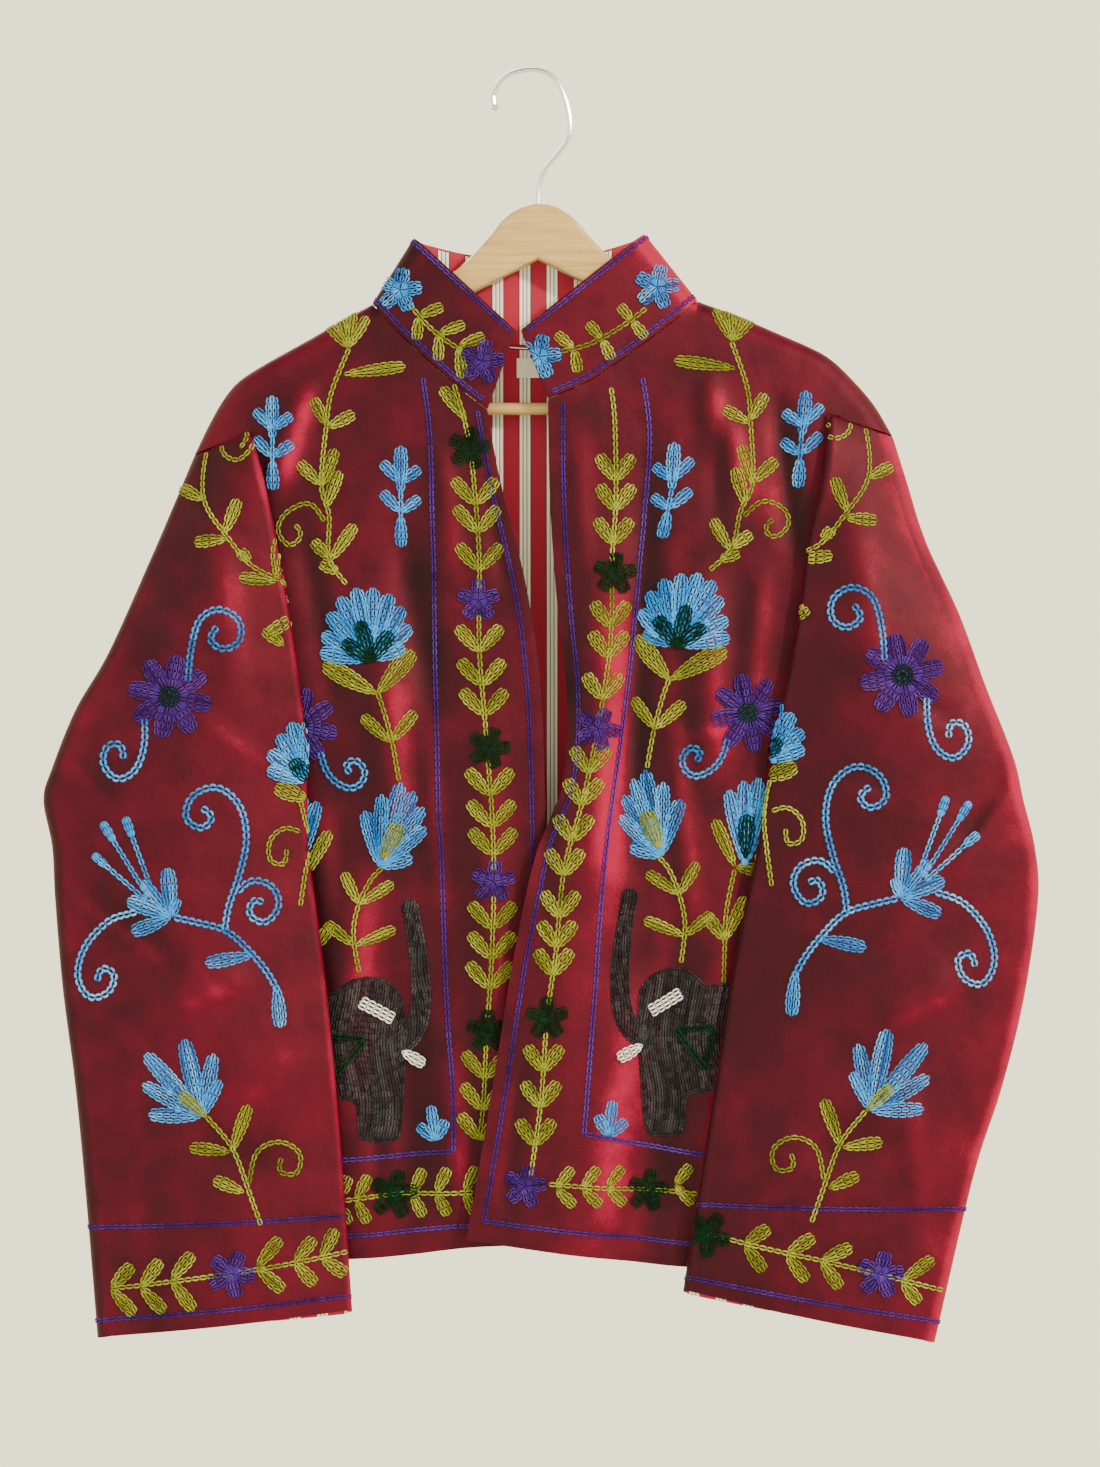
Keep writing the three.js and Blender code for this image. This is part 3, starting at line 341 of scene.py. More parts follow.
def sleeve_tube(side):
    place, rows = OUTLINE[side], SLEEVE_ROWS[side]
    sign = place["sign"]
    head = place["ridge"][-1]
    ends = {True: np.array(place["drop_seam_front"]), False: np.array(place["drop_seam_back"])}
    reach = {front: math.dist(head, end) for front, end in ends.items()}
    square = {front: sign * np.array([head[1] - end[1], end[0] - head[0]]) / reach[front]
              for front, end in ends.items()}
    under_x, under_z = place["underarm"]

    def seam_point(along):
        in_front = (along > 0)[..., None]
        share = np.abs(along) / np.where(along > 0, reach[True], reach[False])
        at = lerp(head, np.where(in_front, ends[True], ends[False]), np.clip(share, 0, 1)[..., None])
        x, z = np.moveaxis(at, -1, 0)
        step = LAYER_GAP * np.clip(along / reach[True], 0, 1) ** 3
        y = np.where(along > 0, front_y(side, x, z) - step, back_y(x, z))
        way = lerp(square[False], square[True], smoothstep(along, -5, 5)[..., None])
        way = way / np.linalg.norm(way, axis=-1, keepdims=True)
        gap = lerp(HEAD_GAP, HEAD_GAP_BACK, smoothstep(-along, 2, 9))
        return np.stack([x + gap * way[..., 0], y, z + gap * way[..., 1]], axis=-1)

    def top_point(part, t):
        if part == "hidden":
            return seam_point(reach[True] - 2 * t)
        if part == "inner_fold":
            return seam_point(reach[True] - 2 - 3 * t)
        if part == "front":
            return seam_point(lerp(reach[True] - 5, 10, t))
        if part == "behind":
            return seam_point(-lerp(8, reach[False], t))
        swing = 1 - 2 * t
        return seam_point(np.where(swing > 0, 10 * swing**2, -8 * swing**2))

    def side_x(z):
        (ax, az), (bx, bz) = place["underarm"], place["hem_side"]
        return np.abs(lerp(ax, bx, np.maximum(0, (z - az) / (bz - az))))

    def clear_of_body(a, z):
        def reach_at(out):
            return np.where(a - out < side_x(z), front_y(side, sign * (a - out), z) - LAYER_GAP, np.inf)
        return np.minimum(reach_at(0), reach_at(LAYER_GAP + 0.1))

    def edge_on_armhole(start, z):
        t = np.clip((z - start[1]) / (under_z - start[1]), 0, 1)
        return np.abs(lerp(start[0], under_x, t))

    def table_at(name, row):
        values = np.array(rows[name], float)
        i = np.clip(np.floor(row).astype(int), 0, len(values) - 2)
        t = row - i
        a, b, c, d = (values[np.clip(i + k, 0, len(values) - 1)] for k in (-1, 0, 1, 2))
        squared, cubed = 2 * a - 5 * b + 4 * c - d, 3 * b - a - 3 * c + d
        return 0.5 * (2 * b + (c - a) * t + squared * t * t + cubed * t**3)

    def section_point(part, t, row):
        inner_a, inner_z = sign * table_at("inner_x", row), table_at("inner_z", row)
        outer_a, outer_z = sign * table_at("outer_x", row), table_at("outer_z", row)

        def level_at(a):
            return lerp(inner_z, outer_z, (a - inner_a) / (outer_a - inner_a))

        def body(a):
            return clear_of_body(a, level_at(a))
        notch = np.where(row < UNDERARM_ROW, smoothstep(row, 4.6, UNDERARM_ROW),
                         1 - smoothstep(row - UNDERARM_ROW, 0, 3.2))
        outer_y = SLEEVE_FORWARD * smoothstep(row, -0.5, 5)
        inner_y = body(inner_a + INNER_FOLD_RADIUS) - 1.5
        low = body(np.full(np.shape(row), ARMHOLE_OUT))

        a_front = edge_on_armhole(place["drop_seam_front"], level_at(ARMHOLE_OUT))
        top_z, under_row_z = rows["outer_z"][0], rows["outer_z"][UNDERARM_ROW]
        back_z = lerp(place["drop_seam_back"][1], under_z, (outer_z - top_z) / (under_row_z - top_z))
        a_back = edge_on_armhole(place["drop_seam_back"], back_z)
        around = notch * np.pi / 2
        y_front = front_y(side, sign * a_front, level_at(a_front)) - UNDERARM_OUT * np.cos(around)
        y_back = back_y(sign * a_back, back_z) + SEAM_GAP / 2
        a_below = side_x(level_at(abs(under_x))) + UNDERARM_OUT
        y_below = lerp(low - 2, 0, notch)
        above = row <= UNDERARM_ROW
        gap = SEAM_GAP / 2
        front_edge = (np.where(above, a_front + UNDERARM_OUT * np.sin(around), a_below - gap * (1 - notch)),
                      np.where(above, y_front - gap, y_below - gap * notch))
        a_edge = np.where(above, a_back + lerp(HEAD_GAP, UNDERARM_OUT, notch), a_below + gap * (1 - notch))
        back_edge = (a_edge, np.where(above, y_back, y_below + gap * notch))
        back_drop = np.where(above, back_z - level_at(a_back), 0)

        drop = settle = 0
        if part == "hidden":
            end = (inner_a + INNER_FOLD_RADIUS, inner_y)
            third = (lerp(front_edge[0], end[0], 0.33), lerp(front_edge[1], low - 2, 0.4))
            leave = (lerp(third[0], front_edge[0] + 3, notch), lerp(third[1], front_edge[1] - 14, notch))
            a = bezier(front_edge[0], leave[0], lerp(front_edge[0], end[0], 0.45), end[0], t)
            y = bezier(front_edge[1], leave[1], inner_y - 1, end[1], t)
            y = np.minimum(y, body(a))
            drop = 1
        elif part == "inner_fold":
            a = inner_a + INNER_FOLD_RADIUS * (1 - np.sin(np.pi * t))
            y = inner_y - INNER_FOLD_RADIUS * (1 - np.cos(np.pi * t))
            drop = 1 - t
        elif part == "front":
            a = lerp(inner_a + INNER_FOLD_RADIUS, outer_a - OUTER_FOLD_RADIUS, t)
            arch = np.sin(np.pi * np.clip(t, 0, 1))
            bulge = SLEEVE_FRONT_BULGE * smoothstep(row, 0, 3) * arch
            raised = fold_height("sleeve_" + side, sign * a, level_at(a)) * np.sqrt(arch)
            y = lerp(inner_y - 2 * INNER_FOLD_RADIUS, outer_y - OUTER_FOLD_RADIUS, t) - bulge - raised
        elif part == "outer_fold":
            a = outer_a - OUTER_FOLD_RADIUS * (1 - np.sin(np.pi * t))
            y = outer_y - OUTER_FOLD_RADIUS * np.cos(np.pi * t)
            drop = t
        else:
            start = (outer_a - OUTER_FOLD_RADIUS, outer_y + OUTER_FOLD_RADIUS)
            bulge = SLEEVE_BACK_BULGE * smoothstep(row, 0, 3)
            span = start[0] - back_edge[0]
            rise = np.where(row < UNDERARM_ROW, 0, bulge)
            arrive = (back_edge[0] + lerp(0.35 * span, 2, notch), back_edge[1] + lerp(rise, 9, notch))
            a = bezier(start[0], start[0] - 0.35 * span, arrive[0], back_edge[0], t)
            y = bezier(start[1], start[1] + bulge, arrive[1], back_edge[1], t)
            arch = np.sin(np.pi * np.clip(t, 0, 1)) ** 2 * smoothstep(row, 2, 4)
            y = y + fold_height("sleeve_" + side + "_back", sign * a, level_at(a)) * arch
            drop = 1
            settle = back_drop * t * t
        z = level_at(a) + settle - drop * CUFF_DROP * smoothstep(row, CUFF_ROW - 2, CUFF_ROW)
        return np.stack([sign * a, y, z], axis=-1)

    def surface(w, v):
        at = np.zeros(np.shape(w) + (3,))
        row = v * CUFF_ROW
        start = -1.0
        for name, until in SLEEVE_PARTS:
            here = (w > start) & (w <= until)
            t = (w[here] - max(start, 0)) / (until - max(start, 0))
            own = section_point(name, t, row[here])
            hold = (np.maximum(0, 1 - row[here] / 1.4) ** 2)[..., None]
            at[here] = lerp(own, top_point(name, t), hold)
            start = until
        return at
    return surface


def grid_of(surface, us, vs):
    u, v = np.meshgrid(us, vs)
    return surface(u, v)


# Places on the photo: its pixels are PIXEL millimetres wide at the cloth, and the hook's crown is at CROWN.
PIXEL = 0.65
CROWN = (532, 62)


def to_cloth(places):
    p = np.asarray(places, float)
    return np.stack([(p[..., 0] - CROWN[0]) * PIXEL, (CROWN[1] - p[..., 1]) * PIXEL], axis=-1)


# Materials
def linear(code):
    """The linear colour of a hex code."""
    values = [int(code[i:i + 2], 16) / 255 for i in (1, 3, 5)]
    return tuple(v / 12.92 if v <= 0.04045 else ((v + 0.055) / 1.055) ** 2.4 for v in values) + (1.0,)


class Finish:
    """One procedural material, with its nodes added one by one."""

    def __init__(self, name, **inputs):
        self.material = bpy.data.materials.new(name)
        self.material.use_nodes = True
        self.tree = self.material.node_tree
        self.shader = self.tree.nodes["Principled BSDF"]
        for socket, value in inputs.items():
            self.shader.inputs[socket.replace("_", " ")].default_value = value

    def add(self, kind, links=(), stops=(), **settings):
        """A node with its links, a ramp's colour stops, and its settings by socket or property."""
        node = self.tree.nodes.new("ShaderNode" + kind)
        for key, value in settings.items():
            if key in node.inputs:
                node.inputs[key].default_value = value
            else:
                setattr(node, key, value)
        while stops and len(node.color_ramp.elements) < len(stops):
            node.color_ramp.elements.new(1.0)
        for element, (at, code) in zip(node.color_ramp.elements if stops else (), stops):
            element.position, element.color = at, linear(code)
        for socket, source in links:
            self.tree.links.new(source, node.inputs[socket])
        return node

    def feed(self, socket, source):
        self.tree.links.new(source, self.shader.inputs[socket])


def velvet_finish():
    # Silk and cotton velvet: a short dark red pile that shines where it turns, with a painted highlight on
    # fold ridges and on slopes facing the key light to the right, and painted shade in the troughs.
    finish = Finish("crimson silk velvet", Roughness=0.55, Sheen_Weight=0.7, Sheen_Roughness=0.3,
                    Sheen_Tint=linear("#CC1646"), Specular_IOR_Level=0.12)
    place = [("Vector", finish.add("TexCoord").outputs["Object"])]
    # Tufts 1.4 mm wide, coarser than the real pile so that they show. Brushed patches are 30 mm wide and
    # crushed ones 50 mm.
    pile = finish.add("TexNoise", place, Scale=700, Detail=2.0, Roughness=0.5).outputs["Fac"]
    brushed = finish.add("TexNoise", place, Scale=34, Detail=3.0, Roughness=0.55).outputs["Fac"]
    crushed = finish.add("TexNoise", place, Scale=19, Detail=3.0, Roughness=0.5).outputs["Fac"]
    # Painted light of the folds (highlight on ridges and on slopes to the right, shade in troughs), to which
    # random patches and tufts are added
    light = finish.add("Attribute", attribute_name="painted_light").outputs["Fac"]
    for patches, share in ((brushed, 0.36), (pile, 0.16)):
        sum_node = finish.add("Math", [(0, patches), (2, light)], operation="MULTIPLY_ADD")
        sum_node.inputs[1].default_value = share
        light = sum_node.outputs[0]
    colour = finish.add("ValToRGB", [("Fac", light)],
                        [(0.3, "#160007"), (0.6, "#340011"), (0.8, "#54001B"), (1.0, "#920A36")])
    finish.feed("Base Color", colour.outputs["Color"])
    soft = finish.add("Bump", [("Height", crushed)], Strength=0.4, Distance=0.01)
    tuft = finish.add("Bump", [("Height", pile), ("Normal", soft.outputs["Normal"])],
                      Strength=0.3, Distance=0.0005)
    finish.feed("Normal", tuft.outputs["Normal"])
    return finish.material


# Stripes of the lining, as shares of one repeat: from, to and colour.
STRIPE_REPEAT = 18 * MM
STRIPES = [(0.0, "#A01036"), (0.5, "#2A1218"), (0.53, "#EFEAE0"), (0.64, "#2A1218"), (0.67, "#EFEAE0"),
           (0.78, "#2A1218"), (0.81, "#EFEAE0"), (0.92, "#2A1218"), (0.95, "#A01036")]


def lining_finish():
    # Plain woven cotton with woven stripes, in groups of three white ones between fine dark lines.
    finish = Finish("striped lining cotton", Roughness=0.85, Sheen_Weight=0.15)
    place = finish.add("TexCoord")
    across = finish.add("SeparateXYZ", [("Vector", place.outputs["UV"])])
    repeats = finish.add("Math", [(0, across.outputs["X"])], operation="DIVIDE")
    repeats.inputs[1].default_value = STRIPE_REPEAT
    share = finish.add("Math", [(0, repeats.outputs[0])], operation="FRACT")
    colour = finish.add("ValToRGB", [("Fac", share.outputs[0])], STRIPES)
    colour.color_ramp.interpolation = "CONSTANT"
    finish.feed("Base Color", colour.outputs["Color"])
    # Threads 1.1 mm apart, twice the real spacing, so that they show
    weave = finish.add("TexNoise", [("Vector", place.outputs["Object"])],
                       Scale=900, Detail=1.0, Roughness=0.5)
    bump = finish.add("Bump", [("Height", weave.outputs["Fac"])], Strength=0.2, Distance=0.0003)
    finish.feed("Normal", bump.outputs["Normal"])
    return finish.material


def wool_finish(name, codes):
    # Two-ply embroidery wool, a little uneven in its dye from stitch to stitch.
    finish = Finish(name, Roughness=0.85, Sheen_Weight=0.25, Sheen_Roughness=0.4,
                    Sheen_Tint=linear(codes[-1]), Specular_IOR_Level=0.1)
    tone = finish.add("Attribute", attribute_name="tone")
    colour = finish.add("ValToRGB", [("Fac", tone.outputs["Fac"])],
                        [(i / (len(codes) - 1), code) for i, code in enumerate(codes)])
    finish.feed("Base Color", colour.outputs["Color"])
    # Fuzz 0.6 mm long
    fuzz = finish.add("TexNoise", [("Vector", finish.add("TexCoord").outputs["Object"])],
                      Scale=1600, Detail=2.0, Roughness=0.5)
    bump = finish.add("Bump", [("Height", fuzz.outputs["Fac"])], Strength=0.5, Distance=0.0003)
    finish.feed("Normal", bump.outputs["Normal"])
    return finish.material


def wood_finish():
    # Clear-lacquered pale hardwood, its grain along the arms.
    finish = Finish("lacquered beech", Roughness=0.38, Coat_Weight=0.35, Coat_Roughness=0.2)
    grain = finish.add("Mapping", [("Vector", finish.add("TexCoord").outputs["Object"])], Scale=(6, 60, 90))
    streaks = finish.add("TexNoise", [("Vector", grain.outputs["Vector"])],
                         Scale=3.0, Detail=5.0, Roughness=0.65)
    colour = finish.add("ValToRGB", [("Fac", streaks.outputs["Fac"])], [(0.3, "#A07C44"), (0.6, "#BE9A5E")])
    finish.feed("Base Color", colour.outputs["Color"])
    return finish.material


velvet = velvet_finish()
lining = lining_finish()
tape = Finish("cotton label tape", Base_Color=linear("#ECE9E2"), Roughness=0.8).material
wood = wood_finish()
wire = Finish("zinc-plated steel wire", Base_Color=linear("#C9CCD0"), Metallic=1.0, Roughness=0.22).material
WOOLS = {
    "blue": wool_finish("sky blue wool", ["#1060B4", "#2482D8", "#3A98EA", "#66B6F4"]),
    "lime": wool_finish("lime green wool", ["#62681C", "#868A2A", "#A2A442"]),
    "purple": wool_finish("purple wool", ["#2A0E5A", "#40207A", "#563494"]),
    "green": wool_finish("bottle green wool", ["#01180B", "#032512", "#06331A"]),
    "grey": wool_finish("speckled grey wool", ["#1A191D", "#27252A", "#333137", "#454349"]),
    "white": wool_finish("white wool", ["#DEDCDA", "#F2F0EE"]),
}


# Cloth pieces
# Painted light of the velvet folds: a highlight on ridges and on slopes that face the key light to the right,
# and shade in troughs
FOLD_LIGHT_REACH = np.array([12, 9])
FOLD_LIGHT_EVEN, RIDGE_LIGHT, SLOPE_LIGHT, STEEPEST = 0.38, 0.05, 0.55, 0.7
EDGE_SEGMENTS, EDGE_ANGLE = 3, math.radians(50)


def keep_body(obj, nodes=()):
    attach(obj, "root")
    if nodes:
        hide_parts(*nodes)
    return obj


def new_object(name, mesh, materials):
    for material in materials:
        mesh.materials.append(material)
    mesh.polygons.foreach_set("use_smooth", np.ones(len(mesh.polygons), bool))
    obj = bpy.data.objects.new(name, mesh)
    bpy.context.scene.collection.objects.link(obj)
    return obj


def painted_fold_light(grid, contrast):
    """Painted light of the folds, from 0 to 1: a painted highlight on ridges and on slopes to the right,
    where the key light falls, and painted shade in troughs.
    """
    forward = -grid[..., 1]
    reach = np.array(forward.shape) // FOLD_LIGHT_REACH
    padded = np.pad(forward, [(count, count) for count in reach], mode="edge")
    sums = np.pad(padded.cumsum(0).cumsum(1), ((1, 0), (1, 0)))
    high, wide = 2 * reach + 1
    total = sums[high:, wide:] - sums[:-high, wide:] - sums[high:, :-wide] + sums[:-high, :-wide]
    ridge = forward - total / (high * wide)
    way = grid[:, 2:, 0] - grid[:, :-2, 0]
    slope = (forward[:, 2:] - forward[:, :-2]) * np.sign(way) / np.maximum(np.abs(way), 2)
    slope = np.clip(np.pad(slope, ((0, 0), (1, 1)), mode="edge"), -STEEPEST, STEEPEST)
    return np.clip(FOLD_LIGHT_EVEN + contrast * (RIDGE_LIGHT * ridge - SLOPE_LIGHT * slope), 0, 0.95)


def shell(name, grid, facing, wall, uv, materials, kept=None, rim=0.9, painted_light=None):
    """A wall of cloth around a grid of points, with its first material on the side that facing tells."""
    rows, columns = grid.shape[:2]
    bm = bmesh.new()
    bmesh.ops.create_grid(bm, x_segments=columns - 1, y_segments=rows - 1, size=1)
    layer = bm.loops.layers.uv.new("cloth")
    # Painted fold light at each point, 0.5 where none is given
    painted_light_layer = bm.verts.layers.float.new("painted_light")
    spots = {}
    for vert in bm.verts:
        spots[vert] = (round((1 - vert.co.y) / 2 * (rows - 1)), round((vert.co.x + 1) / 2 * (columns - 1)))
    for vert, at in spots.items():
        vert.co = grid[at] * MM
        vert[painted_light_layer] = 0.5 if painted_light is None else painted_light[at]
    for face in bm.faces:
        for loop in face.loops:
            loop[layer].uv = uv[spots[loop.vert]] * MM
    if kept is not None:
        out = [face for face in bm.faces if not all(kept[spots[vert]] for vert in face.verts)]
        bmesh.ops.delete(bm, geom=out, context="FACES")
    bmesh.ops.recalc_face_normals(bm, faces=bm.faces)
    if sum(face.normal.dot(facing(face.calc_center_median() / MM)) for face in bm.faces) < 0:
        bmesh.ops.reverse_faces(bm, faces=bm.faces)
    mesh = bpy.data.meshes.new(name)
    bm.to_mesh(mesh)
    bm.free()
    obj = new_object(name, mesh, materials)
    thick = obj.modifiers.new("wall", "SOLIDIFY")
    thick.thickness = wall * MM
    thick.offset = 0
    thick.material_offset = len(materials) - 1
    soft = obj.modifiers.new("rolled edge", "BEVEL")
    soft.width = rim * MM
    soft.segments = EDGE_SEGMENTS
    soft.limit_method = "ANGLE"
    soft.angle_limit = EDGE_ANGLE
    return obj


def along(grid, axis):
    """How far each point of a grid lies along its row or column, in millimetres."""
    steps = np.linalg.norm(np.diff(grid, axis=axis), axis=-1)
    start = np.zeros_like(np.take(steps, [0], axis=axis))
    return np.concatenate([start, np.cumsum(steps, axis=axis)], axis=axis)


def lie_flat(grid):
    return np.stack([along(grid, 1), -along(grid, 0)], axis=-1)


def cut_of(grid):
    """Width, length and area of the cloth that a grid was cut from, in metres."""
    across, down = grid[:-1, 1:] - grid[1:, :-1], grid[1:, 1:] - grid[:-1, :-1]
    area = np.linalg.norm(np.cross(across, down), axis=-1).sum() / 2
    width, length = along(grid, 1).max(), along(grid, 0).max()
    return (width * MM, length * MM), min(area * MM**2, width * length * MM**2)


def shares(count, *turns):
    """Even shares from 0 to 1, closer together around each turn, given as place, width and closeness."""
    fine = np.linspace(0, 1, 2001)
    density = np.ones_like(fine)
    for at, width, closeness in turns:
        density += closeness * np.exp(-(((fine - at) / width) ** 2))
    total = np.concatenate([[0], np.cumsum((density[1:] + density[:-1]) / 2)])
    return np.interp(np.linspace(0, total[-1], count), total, fine)


def towards(x=0, y=0, z=0):
    way = Vector((x, y, z))
    return lambda place: way


def from_line(x, y):
    """The way out from an upright line through x and y."""
    return lambda place: Vector((place.x - x, place.y - y, 0))


def from_sleeve(side):
    """The way out of a sleeve, from the middle between its two folds at that height."""
    rows, sign = SLEEVE_ROWS[side], OUTLINE[side]["sign"]
    z = np.array(rows["outer_z"])[::-1]
    middle = (np.array(rows["outer_x"]) + np.array(rows["inner_x"]))[::-1] / 2

    def way(place):
        return Vector((place.x - sign * abs(np.interp(place.z, z, middle)), place.y + 20, 0))
    return way


down_body = shares(140, (0, 0.02, 3), (0.49, 0.02, 1))
front_across = shares(62, (0, 0.02, 4), (0.6, 0.02, 1))
back_across = shares(104, (0, 0.015, 3), (1, 0.015, 3), (0.27, 0.01, 1), (0.73, 0.01, 1))
sleeve_around = np.unique(np.concatenate([
    np.linspace(0, 0.16, 15), np.linspace(0.16, 0.2, 9), np.linspace(0.2, 0.58, 48),
    np.linspace(0.58, 0.64, 13), np.linspace(0.64, 1, 38)]))
collar_around = shares(124, (0.26, 0.02, 4), (0.74, 0.02, 4))
GRIDS = {
    "front_left": grid_of(front_panel("left"), front_across, down_body),
    "front_right": grid_of(front_panel("right"), front_across, down_body),
    "back": grid_of(back_panel, back_across, down_body),
    "sleeve_left": grid_of(sleeve_tube("left"), sleeve_around, shares(112, (0.5, 0.04, 1.5))),
    "sleeve_right": grid_of(sleeve_tube("right"), sleeve_around, shares(112, (0.5, 0.04, 1.5))),
    "collar": grid_of(collar_band, collar_around, np.linspace(0, 1, 15)),
}
FACING = {
    "front_left": towards(y=-1), "front_right": towards(y=-1), "back": towards(y=1),
    "sleeve_left": from_sleeve("left"), "sleeve_right": from_sleeve("right"), "collar": from_line(0, 0),
}
# Near a seam the inner side is plain crimson, so that no white stripe shows in a joint
PLAIN = 0.25 * STRIPE_REPEAT / MM
PLAIN_ROWS = {"sleeve_left": 8, "sleeve_right": 8, "back": 4, "collar": 15}
# Less painted fold light and shade on the sleeves
SLEEVE_FOLD_LIGHT = 0.55
for name, grid in GRIDS.items():
    uv = grid[..., [0, 2]] if name in ("front_left", "front_right", "back") else lie_flat(grid)
    uv[:PLAIN_ROWS.get(name, 0), :, 0] = PLAIN
    painted_light = painted_fold_light(grid, SLEEVE_FOLD_LIGHT if name.startswith("sleeve") else 1.0)
    wall = shell(name + "_velvet", grid, FACING[name], VELVET_WALL, uv, [velvet, lining], painted_light=painted_light)
    keep_body(wall, [name])


def offset(grid, name, distance):
    """A grid moved along its normals, outwards of the garment where distance is above 0."""
    across, down = np.gradient(grid, axis=1), np.gradient(grid, axis=0)
    normal = np.cross(across, down)
    normal /= np.linalg.norm(normal, axis=-1, keepdims=True) + 1e-9
    middle = grid[grid.shape[0] // 2, grid.shape[1] // 3]
    out = FACING[name](Vector(middle))
    turn = 1 if Vector(normal[grid.shape[0] // 2, grid.shape[1] // 3]).dot(out) > 0 else -1
    return grid + turn * distance * normal


def inwards(name):
    return lambda place: -FACING[name](place)


# Linings, where they show: inside the back, inside the collar and in the two cuffs
LINING_RIM, LABEL_RIM, LABEL_WALL = 0.3, 0.2, 0.6
BELOW_NECK = 0.045
under_velvet = VELVET_WALL / 2 + SEAM_GAP + LINING_WALL / 2
lining_across, lining_down = shares(56), shares(76)
u, v = np.meshgrid(lerp(0.17, 0.83, lining_across), lerp(0.0022, 1, lining_down))
back_inner = offset(back_panel(u, v), "back", -under_velvet)
in_neck = (u >= 0.283) & (u <= 0.717)
below_neck = in_neck | (v >= BELOW_NECK)
collar_inner = grid_of(collar_band, lerp(0.05, 0.95, collar_around), np.linspace(0.03, 0.97, 12))
collar_inner = offset(collar_inner, "collar", -under_velvet)
cuffs = {side: offset(grid_of(sleeve_tube(side), sleeve_around, np.linspace(0.93, 0.992, 12)),
                      "sleeve_" + side, -under_velvet) for side in ("left", "right")}
LININGS = {
    "back_lining": (back_inner, "back", back_inner[..., [0, 2]]),
    "collar_lining": (collar_inner, "collar", collar_inner[..., [0, 2]]),
    "cuff_lining_left": (cuffs["left"], "sleeve_left", lie_flat(cuffs["left"])),
    "cuff_lining_right": (cuffs["right"], "sleeve_right", lie_flat(cuffs["right"])),
}
linings = {}
for name, (grid, panel, uv) in LININGS.items():
    linings[name] = shell(name + "_cotton", grid, inwards(panel), LINING_WALL, uv, [lining],
                          kept=below_neck if name == "back_lining" else None, rim=LINING_RIM)
    keep_body(linings[name], [name])

# Label: a flat bare tape, sewn on the lining
label_low, label_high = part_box("label")
label_grid = np.zeros((7, 15, 3))
label_grid[..., 0], label_grid[..., 2] = np.meshgrid(np.linspace(label_low.x, label_high.x, 15),
                                                     np.linspace(label_high.z, label_low.z, 7))
label_grid[..., 1] = (label_low.y + label_high.y) / 2
label_grid /= MM
label = shell("label_tape", label_grid, towards(y=-1), LABEL_WALL, label_grid[..., [0, 2]], [tape],
              rim=LABEL_RIM)
keep_body(label, ["label"])


# Chain stitch. A link is two plump legs that leave one point, part and close over the next link's start.
LINK = 4.9
ROW = 3.1
CAST_STEP = 1.2
BACK_LINKS = 1.2
SCROLL = {"width": 4.9, "link": 4.6}
LEG_AT = np.array([0.22, 0.56, 0.9])
LEG_OUT = np.array([0.24, 0.34, 0.24])
LEG_THICK = 0.18
CLOSE_LEGS = 1.3
LEG_PLUMP, LEG_SINK = 1.1, 0.2
LINK_OVER, LINK_CLOSE = 1.12, 1.14
STRAIGHT_POINTS, RING_STEP = 60, 3.6
JUMP, SHORT_LINK = 5, 0.7
BOW, BOW_LENGTH = 3, 14
LEG_RISE = np.array([0.8, 1.0, 0.85])
LEG_ROUND = [(1, -0.35), (0, 1), (-1, -0.35)]
PROUD = VELVET_WALL / 2 + 0.25
DYE_DRIFT, SPECKLE = 0.22, {"grey": 0.25}
trees = {}
for name, grid in GRIDS.items():
    rows, columns = grid.shape[:2]
    corner = (np.arange(rows - 1)[:, None] * columns + np.arange(columns - 1)).ravel()
    quads = np.stack([corner, corner + 1, corner + columns + 1, corner + columns], axis=-1)
    trees[name] = BVHTree.FromPolygons(grid.reshape(-1, 3).tolist(), quads.tolist())
COVERS = {"front_left": "sleeve_left", "front_right": "sleeve_right"}
chance = np.random.default_rng(7)
threads = {}


def cast(panel, x, z, behind):
    """Where a panel lies at x and z, as seen from the front or from behind, and its normal there."""
    start, way = Vector((x, 300 if behind else -300, z)), Vector((0, -1 if behind else 1, 0))
    spot, normal = trees[panel].ray_cast(start, way)[:2]
    if spot is None:
        return None
    cover = COVERS.get(panel)
    if cover and not behind and trees[cover].ray_cast(start, way)[0] is not None:
        return None
    return spot, (-normal if normal.dot(way) > 0 else normal)


def even_run(points, step):
    lengths = np.concatenate([[0], np.cumsum(np.linalg.norm(np.diff(points, axis=0), axis=1))])
    count = max(1, round(lengths[-1] / step))
    at = np.linspace(0, lengths[-1], count + 1)
    return np.stack([np.interp(at, lengths, points[:, k]) for k in range(points.shape[1])], axis=-1)


